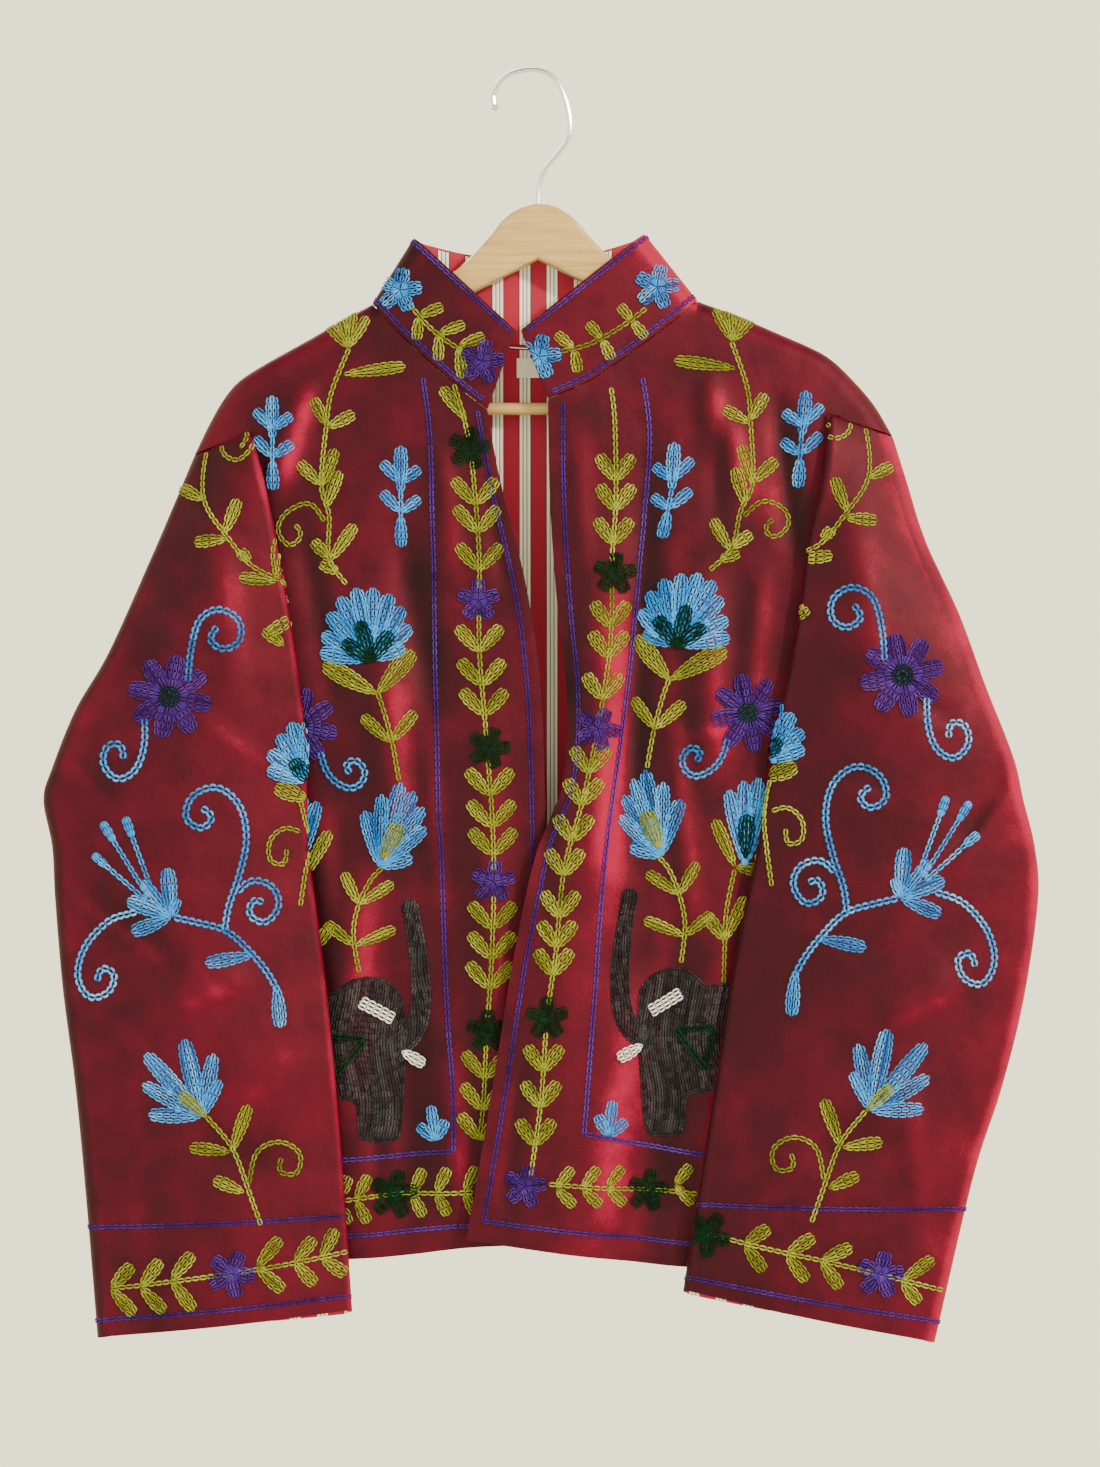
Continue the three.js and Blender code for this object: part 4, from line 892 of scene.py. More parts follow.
class Cloth:
    """Sews motifs on one panel. Places are the photo's pixels, moved by shift, or mirrored about an x."""

    def __init__(self, panel, mirror=None, shift=None, behind=False):
        self.panel, self.mirror, self.shift, self.behind = panel, mirror, shift, behind
        self.lift = 0.0

    def raised(self, lift=1.2):
        """The same cloth for stitches that lie on others."""
        above = copy.copy(self)
        above.lift = lift
        return above

    def spot(self, places):
        p = np.array(places, float)
        if self.mirror is not None:
            p[:, 0] = 2 * self.mirror - p[:, 0]
        if self.shift is not None:
            p = p + np.stack(self.shift(p[:, 0], p[:, 1]), axis=-1)
        if self.behind:
            p[:, 0] = 2 * CROWN[0] - p[:, 0]
        return to_cloth(p)

    def run(self, colour, line, width=ROW, link=LINK):
        """A row of chain stitch along a line on the cloth, in millimetres."""
        link *= BACK_LINKS if self.behind else 1
        line = even_run(line, CAST_STEP)
        stretch = []
        stretches = [stretch]
        for x, z in line:
            found = cast(self.panel, x, z, self.behind)
            jump = found and stretch and (found[0] - Vector(stretch[-1][:3])).length > JUMP
            if found is None or jump:
                stretch = []
                stretches.append(stretch)
            if found:
                stretch.append((*found[0], *found[1]))
        for points in stretches:
            if len(points) > 2:
                places = even_run(np.array(points), link if len(points) > 8 else link * SHORT_LINK)
                places[:, :3] += self.lift * places[:, 3:]
                threads.setdefault((self.panel, colour), []).append((places, width))

    def seam(self, colour, points, width=ROW):
        """A row of chain stitch along points of the panel's own grid, each with its normal."""
        threads.setdefault((self.panel, colour), []).append((even_run(points, LINK), width))

    def line(self, colour, places, rows=1, spacing=2.6, width=ROW + 0.3, link=LINK, gaps=()):
        """Rows of chain stitch side by side along a smooth line, with none inside a circle of gaps."""
        at = self.spot(places)
        line = spline(at) if len(places) > 2 else line_at(at, np.linspace(0, 1, STRAIGHT_POINTS))
        step = np.gradient(line, axis=0)
        side = np.stack([-step[:, 1], step[:, 0]], axis=-1) / (np.linalg.norm(step, axis=1)[:, None] + 1e-9)
        kept = np.ones(len(line), bool)
        for *centre, radius in gaps:
            kept &= np.linalg.norm(line - self.spot([centre]), axis=1) > radius * PIXEL
        for k in range(rows):
            row = line + side * (k - (rows - 1) / 2) * spacing
            for stretch in np.split(np.arange(len(line)), np.flatnonzero(np.diff(kept)) + 1):
                if kept[stretch[0]] and len(stretch) > 3:
                    self.run(colour, row[stretch], width, link)

    def blade(self, colour, base, tip, width, bend=0.0, full=0.7):
        """A leaf or petal: rows that leave its base together and close again at its tip."""
        (ax, az), (bx, bz) = self.spot([base, tip])
        length = math.hypot(bx - ax, bz - az)
        across = np.array([-(bz - az), bx - ax]) / length
        half = width * PIXEL / 2
        count = max(1, round(2 * half / ROW))
        t = np.linspace(0, 1, 24)
        rise = np.sin(np.pi / 2 * np.clip(t / full, 0, 1)) ** 0.9
        swell = rise * np.sqrt(1 - 0.75 * np.clip((t - full) / (1 - full), 0, 1) ** 2)
        spine = np.stack([lerp(ax, bx, t), lerp(az, bz, t)], axis=-1)
        spine += across * (bend * PIXEL * np.sin(np.pi * t))[:, None] * (-1 if self.mirror else 1)
        for k in range(count):
            share = 0 if count == 1 else (2 * k / (count - 1) - 1)
            inset = slice(0, 24) if abs(share) < 0.5 else slice(2, 23)
            row = spine + across * (share * (half - ROW / 2) * swell)[:, None]
            self.run(colour, row[inset])

    def leaves(self, colour, base, tips, width=13, bend=0.0):
        for tip in tips:
            self.blade(colour, base, tip, width, bend)

    def star(self, colour, centre, radius, petals=5, turn=0.0, heart=None):
        above = self.raised(0.5)
        for k in range(petals):
            angle = turn + 2 * math.pi * k / petals
            tip = (centre[0] + radius * math.sin(angle), centre[1] - radius * math.cos(angle))
            above.blade(colour, centre, tip, 2 * radius * math.sin(math.pi / petals) * 0.62)
        if heart:
            self.raised(1.3).ring(heart, centre, radius * 0.22)

    def ring(self, colour, centre, radius):
        angle = np.linspace(0, 2 * math.pi, 20)
        while radius > 1.5:
            self.line(colour, np.stack([centre[0] + radius * np.cos(angle),
                                        centre[1] + radius * np.sin(angle)], axis=-1))
            radius -= RING_STEP

    def vine(self, stem, levels, colour="lime", spread=22, rise=22, width=13):
        """Leaf pairs up a stem, given as a line of places from which x follows y."""
        stem = np.array(sorted(stem, key=lambda place: place[1]), float)
        for y in levels:
            x, below = np.interp([y, y + 8], stem[:, 1], stem[:, 0])
            tips = [(x - spread, y - rise + 6), (x + spread, y - rise + 6)]
            self.leaves(colour, (below, y + 10), tips, width)

    def fill(self, colour, outline, spacing=1.9, width=3.0, link=3.9):
        """A row along a shape's edge, and bowed rows up and down inside it."""
        edge = self.spot(outline)
        closed = line_at(spline(np.vstack([edge, edge[:1]])), np.linspace(0, 1, 241))
        step = np.roll(closed[:-1], -1, axis=0) - np.roll(closed[:-1], 1, axis=0)
        inner = np.stack([-step[:, 1], step[:, 0]], axis=-1) / (np.linalg.norm(step, axis=1)[:, None] + 1e-9)
        turning = np.sum(closed[:-1, 0] * np.roll(closed[:-1, 1], -1)
                         - np.roll(closed[:-1, 0], -1) * closed[:-1, 1])
        inner = np.vstack([inner, inner[:1]]) * np.sign(turning)
        self.run(colour, closed + inner * spacing / 2, width, link)
        (x0, z0), (x1, z1) = closed[:-1, :, None].transpose(1, 0, 2), closed[1:, :, None].transpose(1, 0, 2)
        low, high = closed.min(axis=0), closed.max(axis=0)
        for k, start in enumerate(np.arange(low[0] - BOW - 1, high[0] + BOW + 1, spacing)):
            z = np.arange(low[1] + (k % 2) * link / 2, high[1], 0.8)
            x = start + BOW * np.sin((z - low[1]) / BOW_LENGTH)
            rise = np.where(z1 == z0, 1e-9, z1 - z0)
            crossed = ((z0 > z) != (z1 > z)) & (x < (x1 - x0) * (z - z0) / rise + x0)
            kept = (crossed.sum(axis=0) % 2 == 1) & (distance_to_line(x, z, closed) > spacing * 0.85)
            for stretch in np.split(np.arange(len(z)), np.flatnonzero(np.diff(kept)) + 1):
                if kept[stretch[0]] and len(stretch) > 3:
                    self.run(colour, np.stack([x, z], axis=-1)[stretch], width, link)


def sew_threads():
    """One mesh for each wool on each panel. It holds thousands of links, so it is filled in one go."""
    sewn = {}
    for (panel, colour), rows in threads.items():
        start, end, start_up, end_up, wide, tone = [], [], [], [], [], []
        for places, width in rows:
            count = len(places) - 1
            start.append(places[:-1, :3])
            end.append(places[1:, :3])
            start_up.append(places[:-1, 3:])
            end_up.append(places[1:, 3:])
            wide.append(np.full(count, width))
            mean = chance.uniform(0.2, 0.8)
            drift = mean + DYE_DRIFT * np.sin(np.arange(count) * 0.35 + chance.uniform(0, 6))
            tone.append(np.clip(drift + chance.normal(0, SPECKLE.get(colour, 0.1), count), 0, 1))
        start, end, start_up, end_up = (np.concatenate(part) for part in (start, end, start_up, end_up))
        wide, tone = np.concatenate(wide), np.concatenate(tone)
        way = end - start
        up = start_up + end_up
        up /= np.linalg.norm(up, axis=1)[:, None] + 1e-9
        side = np.cross(up, way)
        side /= np.linalg.norm(side, axis=1)[:, None] + 1e-9
        thick = LEG_THICK * (CLOSE_LEGS if colour == "grey" else 1)
        legs = []
        for leg in (-1, 1):
            points = [start + up * (PROUD - LEG_SINK)]
            for at, out, rise in zip(LEG_AT, LEG_OUT, LEG_RISE):
                middle = start + way * at * LINK_OVER + side * (leg * out * wide)[:, None]
                middle = middle + up * (PROUD + 0.1 * wide * rise)[:, None]
                for sideways, upwards in LEG_ROUND:
                    points.append(middle + side * (thick * sideways * wide)[:, None]
                                  + up * (LEG_PLUMP * thick * upwards * wide)[:, None])
            points.append(start + way * LINK_CLOSE + up * (PROUD + 0.1))
            legs.append(np.stack(points, axis=1))
        vertices = np.concatenate(legs, axis=1)
        each, sides = vertices.shape[1], len(LEG_ROUND)
        pattern = []
        for base in (0, each // 2):
            last = base + each // 2 - 1
            for k in range(sides):
                n = (k + 1) % sides
                pattern.append((base, base + 1 + k, base + 1 + n, base))
                pattern.append((last, last - sides + n, last - sides + k, last))
                for ring in range(len(LEG_AT) - 1):
                    low = base + 1 + ring * sides
                    high = low + sides
                    pattern.append((low + k, high + k, high + n, low + n))
        faces = [face[:3] if face[0] == face[3] else face for face in pattern]
        sizes = np.tile([len(face) for face in faces], len(start))
        loops = (np.concatenate([np.array(face) for face in faces])[None, :]
                 + each * np.arange(len(start))[:, None]).ravel()
        mesh = bpy.data.meshes.new(panel)
        mesh.vertices.add(each * len(start))
        mesh.vertices.foreach_set("co", (vertices.reshape(-1, 3) * MM).ravel())
        mesh.loops.add(len(loops))
        mesh.loops.foreach_set("vertex_index", loops.astype(np.int32))
        mesh.polygons.add(len(sizes))
        mesh.polygons.foreach_set("loop_start", (np.cumsum(sizes) - sizes).astype(np.int32))
        mesh.update(calc_edges=True)
        tones = mesh.attributes.new("tone", "FLOAT", "POINT")
        tones.data.foreach_set("value", np.repeat(tone, each).astype(np.float32))
        obj = new_object(f"{panel}_stitches_{colour}", mesh, [WOOLS[colour]])
        keep_body(obj)
        sewn.setdefault(panel, []).append(obj)
    return sewn


# The motifs, laid out on the photo's pixels
def along_grid(panel, surface, u, v):
    """Points of a panel at shares u and v, each followed by its normal."""
    u, v = np.broadcast_arrays(np.asarray(u, float), np.asarray(v, float))
    nudge = 1e-3
    at = surface(u, v)
    across = surface(np.minimum(u + nudge, 1), v) - surface(np.maximum(u - nudge, 0), v)
    down = surface(u, np.minimum(v + nudge, 1)) - surface(u, np.maximum(v - nudge, 0))
    normal = np.cross(across, down)
    normal /= np.linalg.norm(normal, axis=-1, keepdims=True)
    out = FACING[panel](Vector(at[len(at) // 2]))
    return np.concatenate([at, normal * (1 if Vector(normal[len(at) // 2]).dot(out) > 0 else -1)], axis=-1)


def edge_vine(cloth, stem, levels, stars, spread=22):
    cloth.line("lime", stem, gaps=[(x, y, 12) for _, x, y, _ in stars])
    cloth.vine(stem, levels, spread=spread, width=15)
    for colour, x, y, turn in stars:
        cloth.star(colour, (x, y), 21, 5, turn)


def sprig(cloth, base, tall, lean=0):
    """A blue sprig: two pairs of lobes between one at the top and one at the bottom."""
    x, y = base
    top = y - tall
    cloth.blade("blue", (x, y - tall * 0.5), (x + lean, top), 15)
    for level in (0.36, 0.66):
        low = y - tall * (1 - level)
        cloth.leaves("blue", (x, low), [(x - 19, low - 20), (x + 19, low - 14)], 13)
    cloth.blade("blue", (x, y - tall * 0.32), (x, y), 14)
    cloth.line("blue", [(x, y - tall * 0.55), (x, y - tall * 0.15)])


def fan_flower(cloth, base, tips, heart, foot, wings):
    """Blue petals in a fan, with a bottle green heart of round lobes, in a lime cup."""
    for wing in wings:
        cloth.blade("lime", foot, wing, 20)
    above = cloth.raised(0.6)
    for tip in tips:
        above.blade("blue", (lerp(base[0], tip[0], 0.12), lerp(base[1], tip[1], 0.12)), tip, 17, full=0.75)
    above = cloth.raised(1.6)
    for tip in heart:
        above.blade("green", base, tip, 17, full=0.6)


def tulip(cloth, base, tips, heart):
    """Blue petals that open from a lime heart."""
    for tip in tips:
        cloth.blade("blue", base, tip, 16)
    cloth.raised(1.0).blade("lime", heart[0], heart[1], 20)


def elephant(cloth):
    """A plain toy elephant: an oval back, a round head, blunt legs and a curved trunk."""
    rows = {"spacing": 2.6, "width": 4.2, "link": 5.0} if cloth.behind else {}
    x = np.linspace(228, 400, 30)
    back_top = 1066 - 72 * np.sqrt(1 - ((x - 314) / 88) ** 2)
    head_top = np.where(x > 328, 1016 - 38 * np.sqrt(np.clip(1 - ((x - 366) / 38) ** 2, 0, 1)), back_top)
    legs = [(404, 1030), (402, 1090), (398, 1138), (388, 1144), (368, 1144), (358, 1138), (355, 1106),
            (336, 1100), (296, 1100), (280, 1106), (277, 1138), (267, 1144), (247, 1144), (237, 1138),
            (232, 1096)]
    body = np.vstack([np.stack([x, np.minimum(back_top, head_top)], axis=-1), legs])
    t = np.linspace(0, 1, 14)
    middle = np.stack([bezier(388, 432, 424, 408, t), bezier(1048, 1046, 980, 902, t)], axis=-1)
    step = np.gradient(middle, axis=0)
    across = np.stack([-step[:, 1], step[:, 0]], axis=-1) / np.linalg.norm(step, axis=1)[:, None]
    half = across * lerp(11, 7, t)[:, None]
    trunk = np.vstack([middle + half, (middle - half)[::-1]])
    for outline in (trunk, body):
        cloth.fill("grey", outline, **rows)
    above = cloth.raised(1.5)
    above.line("white", [(358, 1002), (391, 1020)], rows=3, spacing=2.6, width=3.6)
    above.blade("white", (400, 1053), (425, 1066), 14)
    for start, end in (((363, 1040), (328, 1036)), ((328, 1036), (335, 1077)), ((335, 1077), (363, 1040))):
        above.line("green", [start, end], width=4.4)


def front_motifs(cloth):
    """What both fronts have alike, in the left one's places."""
    cloth.line("lime", [(348, 345), (330, 390), (325, 423), (320, 484), (328, 514), (328, 557), (345, 583)])
    for tip in ((327, 322), (338, 311), (352, 308), (366, 314)):
        cloth.blade("lime", (347, 345), tip, 12)
    for base, tip in (((342, 372), (404, 364)), ((325, 423), (311, 397)), ((326, 426), (353, 412)),
                      ((320, 484), (297, 461)), ((320, 486), (334, 448)), ((324, 508), (338, 470)),
                      ((328, 557), (312, 540)), ((329, 560), (354, 524)), ((338, 572), (320, 562))):
        cloth.blade("lime", base, tip, 14)
    cloth.line("lime", [(324, 521), (308, 502), (284, 512), (276, 530), (288, 545), (300, 534), (294, 524)])
    sprig(cloth, (400, 545), 100)
    sprig(cloth, (272, 488), 94, -2)
    tips = [(319, 652), (321, 634), (328, 613), (339, 597), (355, 588), (372, 588), (388, 594), (400, 607),
            (408, 626), (402, 646)]
    fan_flower(cloth, (371, 662), tips, [(343, 641), (359, 621), (389, 632)],
               (377, 694), [(322, 664), (411, 651)])
    cloth.line("lime", [(377, 692), (384, 712), (392, 745), (398, 780)])
    cloth.leaves("lime", (390, 742), [(362, 716), (414, 712)], 14)
    tips = [(364, 812), (382, 795), (400, 783), (413, 792), (423, 808), (425, 828), (411, 858)]
    tulip(cloth, (379, 868), tips, [(381, 860), (398, 824)])
    cloth.line("lime", [(382, 868), (370, 880), (358, 905), (353, 935), (358, 972)])
    cloth.leaves("lime", (358, 905), [(343, 874), (392, 884)], 13)
    cloth.leaves("lime", (354, 946), [(394, 930), (326, 924)], 13)
    cloth.star("purple", (298, 726), 38, 8, 0.2, "green")
    cloth.line("blue", [(319, 751), (324, 769), (334, 782), (350, 789), (362, 782), (364, 769), (354, 760),
                        (344, 765), (349, 773)], **SCROLL)
    # A second tulip, half under the sleeve
    for tip in ((316, 803), (301, 794), (286, 791), (274, 797)):
        cloth.blade("blue", (294, 878), tip, 17)
    cloth.raised(1.0).blade("green", (294, 870), (296, 827), 18)
    cloth.leaves("lime", (304, 878), [(328, 832), (276, 882)], 14)
    cloth.line("lime", [(304, 880), (312, 925), (316, 992)])
    cloth.leaves("lime", (314, 951), [(331, 925), (292, 908)], 14)
    cloth.leaves("blue", (436, 1143), [(418, 1128), (431, 1108), (446, 1122)], 13)
    elephant(cloth)


left = Cloth("front_left")
left_stem = [(452, 378), (463, 415), (470, 450), (475, 500), (479, 563), (479, 650), (487, 748), (493, 850),
             (492, 950), (487, 1032), (484, 1100), (480, 1140)]
edge_vine(left, left_stem, [494, 522, 560, 642, 676, 706, 786, 818, 846, 920, 950, 980, 1070, 1102, 1132],
          [("green", 469, 447, 0.2), ("purple", 478, 600, 0), ("green", 489, 748, 0.3),
           ("purple", 493, 882, 0.1), ("green", 488, 1032, 0)])
left.blade("lime", (466, 418), (441, 386), 14)
front_motifs(left)
left.line("purple", [(422, 375), (428, 420), (431, 470), (432, 520), (434, 580), (437, 800), (440, 850),
                     (446, 1000), (452, 1090), (453, 1153)])
left.line("purple", [(453, 1153), (330, 1163), (230, 1160)])
left.seam("purple", along_grid("front_left", front_panel("left"), 0.965, np.linspace(0.01, 0.975, 200)))
left.seam("purple", along_grid("front_left", front_panel("left"), np.linspace(0.02, 1, 200), 0.975))
left.line("lime", [(474, 1194), (434, 1196), (393, 1197), (337, 1204)])
for x, y in ((336, 1204), (355, 1203), (411, 1197), (436, 1195), (464, 1194)):
    left.leaves("lime", (x, y), [(x + 12, y - 25), (x + 12, y + 22)], 14)
left.star("green", (393, 1197), 24, 5, 0.2)

right_like_left = Cloth("front_right", mirror=525, shift=lambda x, y: (
    np.interp(y, [300, 500, 620, 800, 900, 1150], [33, 22, -2, -4, -12, -6]),
    np.interp(y, [300, 500, 600, 900, 1000, 1150], [-8, -2, -16, -10, -8, -6])))
front_motifs(right_like_left)
right = Cloth("front_right")
right_stem = [(611, 385), (615, 420), (616, 500), (612, 560), (610, 640), (598, 728), (583, 800), (564, 870),
              (556, 950), (547, 1017), (541, 1100), (530, 1180)]
edge_vine(right, right_stem,
          [470, 500, 534, 618, 648, 690, 764, 796, 832, 866, 908, 938, 966, 1062, 1098, 1136],
          [("green", 615, 573, 0.1), ("purple", 598, 729, 0.4), ("green", 547, 1018, 0),
           ("purple", 525, 1186, 0.2)], spread=17)
right.seam("purple", along_grid("front_right", front_panel("right"), 0.965, np.linspace(0.01, 0.975, 200)))
right.seam("purple", along_grid("front_right", front_panel("right"), np.linspace(0.02, 0.965, 200), 0.975))
right.line("purple", [(643, 375), (650, 440), (640, 560), (625, 700), (605, 850), (594, 1000), (584, 1134)])
right.line("purple", [(584, 1134), (700, 1156), (820, 1156)])
right.line("lime", [(548, 1184), (620, 1190), (700, 1196)])
for x in (556, 582, 606, 676, 700):
    right.leaves("lime", (x, 1188), [(x + 16, 1168), (x + 18, 1206)], 13)
right.star("green", (648, 1193), 21, 5, 0.2)

# Collar
collar = Cloth("collar")
for x, y, colour in ((399, 287, "blue"), (482, 360, "purple"), (539, 355, "blue"), (657, 284, "blue")):
    collar.star(colour, (x, y), 22, 5, 0.2)
collar.line("lime", [(408, 300), (426, 322), (448, 340), (468, 352)])
for base, tips in (((418, 313), ((442, 304), (416, 337))), ((438, 331), ((464, 322), (438, 358))),
                   ((458, 344), ((484, 334), (462, 376)))):
    collar.leaves("lime", base, tips, 13)
collar.line("lime", [(560, 350), (590, 342), (622, 324), (646, 306)])
for base, tips in (((574, 347), ((556, 332), (578, 370))), ((602, 337), ((588, 321), (612, 357))),
                   ((632, 318), ((620, 303), (646, 335)))):
    collar.leaves("lime", base, tips, 13)
for level in (0.07, 0.945):
    collar.seam("purple", along_grid("collar", collar_band, np.linspace(0.01, 0.99, 240), level))


def sleeve_motifs(cloth):
    """A sleeve's motifs, in the left one's places."""
    cloth.line("lime", [(240, 448), (246, 436), (236, 424), (222, 432), (222, 452), (238, 460), (251, 444),
                        (240, 416), (216, 424), (204, 455), (204, 500), (228, 538), (250, 565), (278, 580)])
    for base, tip in (((225, 535), (238, 500)), ((228, 540), (196, 543)), ((204, 500), (178, 486)),
                      ((250, 562), (240, 552)), ((276, 580), (277, 536)), ((276, 582), (240, 578)),
                      ((284, 646), (264, 630)), ((262, 455), (276, 440)), ((296, 600), (284, 560)),
                      ((300, 612), (268, 634))):
        cloth.blade("lime", base, tip, 14)
    cloth.line("lime", [(278, 580), (296, 604), (290, 640)])
    cloth.star("purple", (172, 697), 41, 8, 0.2, "green")
    cloth.line("blue", [(190, 683), (193, 650), (202, 620), (222, 610), (240, 622), (240, 642), (225, 650),
                        (212, 640), (219, 628)], **SCROLL)
    cloth.line("blue", [(147, 718), (147, 745), (138, 770), (120, 779), (106, 764), (110, 746), (124, 745),
                        (126, 758)], **SCROLL)
    fan_flower(cloth, (308, 784), [(268, 769), (269, 752), (279, 735), (291, 723), (305, 721)], [(292, 760)],
               (306, 800), [(276, 786)])
    cloth.line("lime", [(300, 832), (284, 828), (270, 840), (270, 860), (284, 864), (286, 850)])
    cloth.line("lime", [(300, 800), (306, 850), (300, 905)])
    # Spray
    for start, end in (((150, 900), (96, 854)), ((152, 897), (105, 822)), ((156, 893), (128, 817))):
        cloth.line("blue", [start, end])
        cloth.blade("blue", (lerp(start[0], end[0], 0.72), lerp(start[1], end[1], 0.72)), end, 10)
    for tip, width in (((170, 868), 17), ((131, 899), 17), ((134, 931), 16), ((146, 880), 12),
                       ((180, 898), 12)):
        cloth.blade("blue", (174, 916), tip, width)
    cloth.line("blue", [(140, 910), (112, 920), (88, 945), (80, 975), (92, 996), (112, 990), (117, 972),
                        (104, 967), (100, 979)], **SCROLL)
    cloth.line("blue", [(176, 916), (202, 922), (228, 930), (250, 950), (268, 972), (278, 990)], **SCROLL)
    cloth.blade("blue", (277, 984), (281, 1026), 15)
    cloth.line("blue", [(226, 930), (230, 905), (240, 875), (247, 838), (240, 805), (218, 787), (194, 796),
                        (188, 818), (204, 828), (214, 816), (204, 808)], **SCROLL)
    cloth.line("blue", [(238, 892), (252, 880), (272, 886), (279, 905), (266, 922), (250, 914), (254, 899),
                        (263, 902)], **SCROLL)
    cloth.blade("blue", (255, 954), (208, 962), 15)
    # Tulip
    for tip, width in (((149, 1052), 18), ((187, 1038), 19), ((216, 1052), 16), ((146, 1082), 16),
                       ((152, 1112), 16), ((222, 1078), 13)):
        cloth.blade("blue", (204, 1114), tip, width, full=0.6)
    cloth.raised().blade("lime", (209, 1114), (183, 1090), 14)
    cloth.line("lime", [(208, 1113), (232, 1143), (247, 1180), (262, 1222)])
    for base, tip in (((233, 1150), (250, 1103)), ((232, 1150), (192, 1145)), ((246, 1190), (216, 1177))):
        cloth.blade("lime", base, tip, 14)
    cloth.line("lime", [(250, 1182), (258, 1150), (280, 1140), (300, 1152), (297, 1172), (280, 1170),
                        (282, 1157)])
    # Cuff
    if not cloth.behind:
        tube = sleeve_tube(cloth.panel.removeprefix("sleeve_"))
        for level in (0.934, 0.985):
            cloth.seam("purple", along_grid(cloth.panel, tube, np.linspace(0, 1, 240), level))


def cuff_motifs(cloth, stem, pairs, stars):
    """A cuff's vine: leaf pairs that all open one way, each a base and its two tips."""
    cloth.line("lime", stem)
    for base, *tips in pairs:
        cloth.leaves("lime", base, tips, 15)
    for colour, x, y, turn in stars:
        cloth.star(colour, (x, y), 23, 5, turn)


LEFT_CUFF = (
    [(113, 1286), (174, 1278), (233, 1270), (295, 1261), (345, 1252)],
    [((113, 1286), (135, 1262), (137, 1311)), ((143, 1284), (163, 1257), (167, 1308)),
     ((174, 1276), (195, 1250), (196, 1306)), ((258, 1264), (281, 1236), (284, 1288)),
     ((295, 1260), (314, 1237), (315, 1283)), ((321, 1257), (335, 1229), (345, 1274))],
    [("purple", 233, 1270, 0.4)])
RIGHT_CUFF = (
    [(707, 1232), (743, 1241), (785, 1250), (820, 1257), (878, 1271), (940, 1288)],
    [((744, 1242), (768, 1225), (763, 1268)), ((785, 1251), (812, 1233), (805, 1277)),
     ((819, 1257), (849, 1243), (838, 1284)), ((899, 1278), (931, 1256), (917, 1300))],
    [("green", 707, 1233, 0.6), ("purple", 878, 1271, 0.2)])
cuff_motifs(Cloth("sleeve_left"), *LEFT_CUFF)
cuff_motifs(Cloth("sleeve_right"), *RIGHT_CUFF)
sleeve_motifs(Cloth("sleeve_left"))
sleeve_motifs(Cloth("sleeve_right", mirror=536, shift=lambda x, y: (
    0 * x, np.interp(y, [600, 900, 1100, 1220], [-22, -20, -6, -4]))))


# What the photo doesn't show repeats the same patterns: the back, the collar's back and the sleeves' backs
for mirror in (None, CROWN[0]):
    half = Cloth("back", mirror, shift=lambda x, y: (0 * x - 8, 0 * y), behind=True)
    front_motifs(half)
    half.line("purple", [(446, 375), (446, 700), (448, 1000), (453, 1153)])
    half.line("purple", [(453, 1153), (330, 1163), (230, 1160)])
spine = Cloth("back", behind=True)
edge_vine(spine, [(532, 372), (532, 760), (532, 1150)],
          [410, 442, 474, 560, 592, 624, 710, 742, 774, 860, 892, 924, 1010, 1042, 1074, 1106],
          [("green", 532, 512, 0), ("purple", 532, 662, 0), ("green", 532, 812, 0), ("purple", 532, 962, 0),
           ("green", 532, 1140, 0)])
spine.line("lime", [(225, 1196), (532, 1198), (845, 1202)])
for x in (260, 290, 320, 400, 430, 460, 600, 630, 660, 740, 770, 800):
    spine.leaves("lime", (x, 1198), [(x - 17, 1180), (x - 15, 1217)], 13)
for x, colour in ((360, "green"), (532, "purple"), (700, "green")):
    spine.star(colour, (x, 1199), 21, 5, 0.2)
spine.seam("purple", along_grid("back", back_panel, np.linspace(0.01, 0.99, 300), 0.975))
collar_back = Cloth("collar", behind=True)
collar_back.line("lime", [(440, 292), (532, 305), (624, 292)])
for x, turn in ((455, -1), (485, -1), (580, 1), (610, 1)):
    collar_back.leaves("lime", (x, 298), [(x + turn * 20, 280), (x + turn * 20, 318)], 13)
collar_back.star("blue", (532, 303), 22, 5, 0.2)
left_behind = Cloth("sleeve_left", mirror=536, shift=lambda x, y: (0 * x, 6 + 0 * y), behind=True)
right_behind = Cloth("sleeve_right", shift=lambda x, y: (0 * x, -14 + 0 * y), behind=True)
sleeve_motifs(left_behind)
sleeve_motifs(right_behind)
cuff_motifs(left_behind, *LEFT_CUFF)
cuff_motifs(right_behind, *LEFT_CUFF)

sewn = sew_threads()


# The size each piece of cloth was cut to, worked out for each piece
for name, grid in GRIDS.items():
    flat, area = cut_of(grid)
for name, (grid, *_) in LININGS.items():
    flat, area = cut_of(grid)

# The hanger keeps its shape from the CAD model, with its edges shaded soft
HANGER = {"hanger_body": (wood, "wood"), "trouser_bar": (wood, "wood"), "hook": (wire, "wire")}
for node, (material, slot_name) in HANGER.items():
    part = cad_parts[node]
    part.data.materials.clear()
    part.data.materials.append(material)
    for polygon in part.data.polygons:
        polygon.use_smooth = True

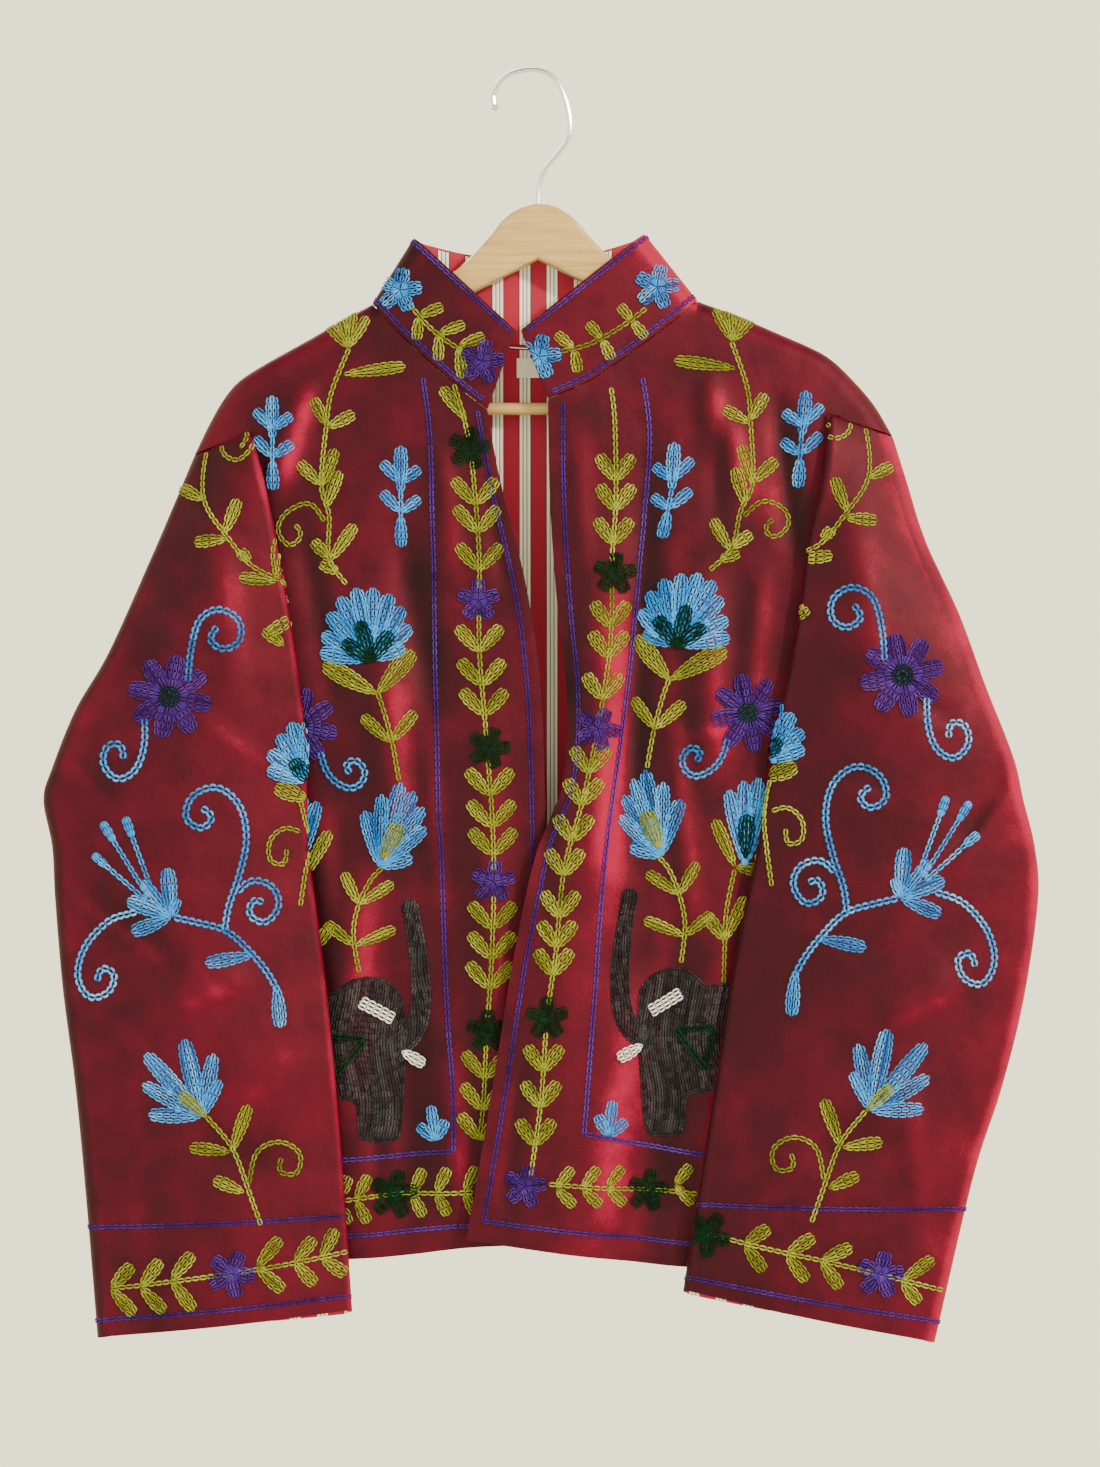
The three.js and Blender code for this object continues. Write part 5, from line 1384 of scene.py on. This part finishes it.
# A plain pale wall all round, open above, so that no edge or corner shows from any side
WALL_RADIUS, WALL_TOP = 7, 5.5
bm = bmesh.new()
bmesh.ops.create_uvsphere(bm, u_segments=64, v_segments=32, radius=WALL_RADIUS)
bmesh.ops.delete(bm, geom=[vert for vert in bm.verts if vert.co.z > WALL_TOP], context="VERTS")
mesh = bpy.data.meshes.new("backdrop")
bm.to_mesh(mesh)
bm.free()
plaster = Finish("off-white plaster", Base_Color=linear("#DDDCC9"), Roughness=0.95,
                 Emission_Color=linear("#E2E0CE"), Emission_Strength=0.95)
new_object("backdrop", mesh, [plaster.material])

world = bpy.data.worlds.new("room")
bpy.context.scene.world = world
world.use_nodes = True
background = world.node_tree.nodes["Background"]
background.inputs["Color"].default_value = linear("#F4F1E8")
background.inputs["Strength"].default_value = 0.5


def area_light(name, at, aim, size, power, colour="#FFFFFF"):
    light = bpy.data.lights.new(name, "AREA")
    light.shape = "DISK"
    light.size, light.energy, light.color = size, power, linear(colour)[:3]
    obj = bpy.data.objects.new(name, light)
    bpy.context.scene.collection.objects.link(obj)
    obj.location = at
    obj.rotation_euler = (Vector(aim) - Vector(at)).to_track_quat("-Z", "Y").to_euler()


area_light("key", (2.1, -2.2, 1.0), (0, 0, -0.42), 0.35, 135, "#FFF0DC")
area_light("fill", (-2.4, -2.2, 0.0), (0, 0, -0.45), 2.4, 16, "#F2F5FF")
area_light("behind", (-0.6, 2.6, 1.2), (0, 0, -0.5), 1.6, 50)

# Camera: level, far enough off to see the jacket nearly flat, as in the photo
CAMERA_WAY, CAMERA_X, CAMERA_Z = 2.0, 0.0117, -0.4365
SENSOR = 36
PICTURE_HEIGHT = 1467 * PIXEL * MM
camera = bpy.data.cameras.new("camera")
camera.sensor_width = SENSOR
camera.lens = SENSOR * CAMERA_WAY / PICTURE_HEIGHT
eye = bpy.data.objects.new("camera", camera)
eye.location = (CAMERA_X, -CAMERA_WAY - 0.03, CAMERA_Z)
eye.rotation_euler = (math.pi / 2, 0, 0)
bpy.context.scene.collection.objects.link(eye)
bpy.context.scene.camera = eye
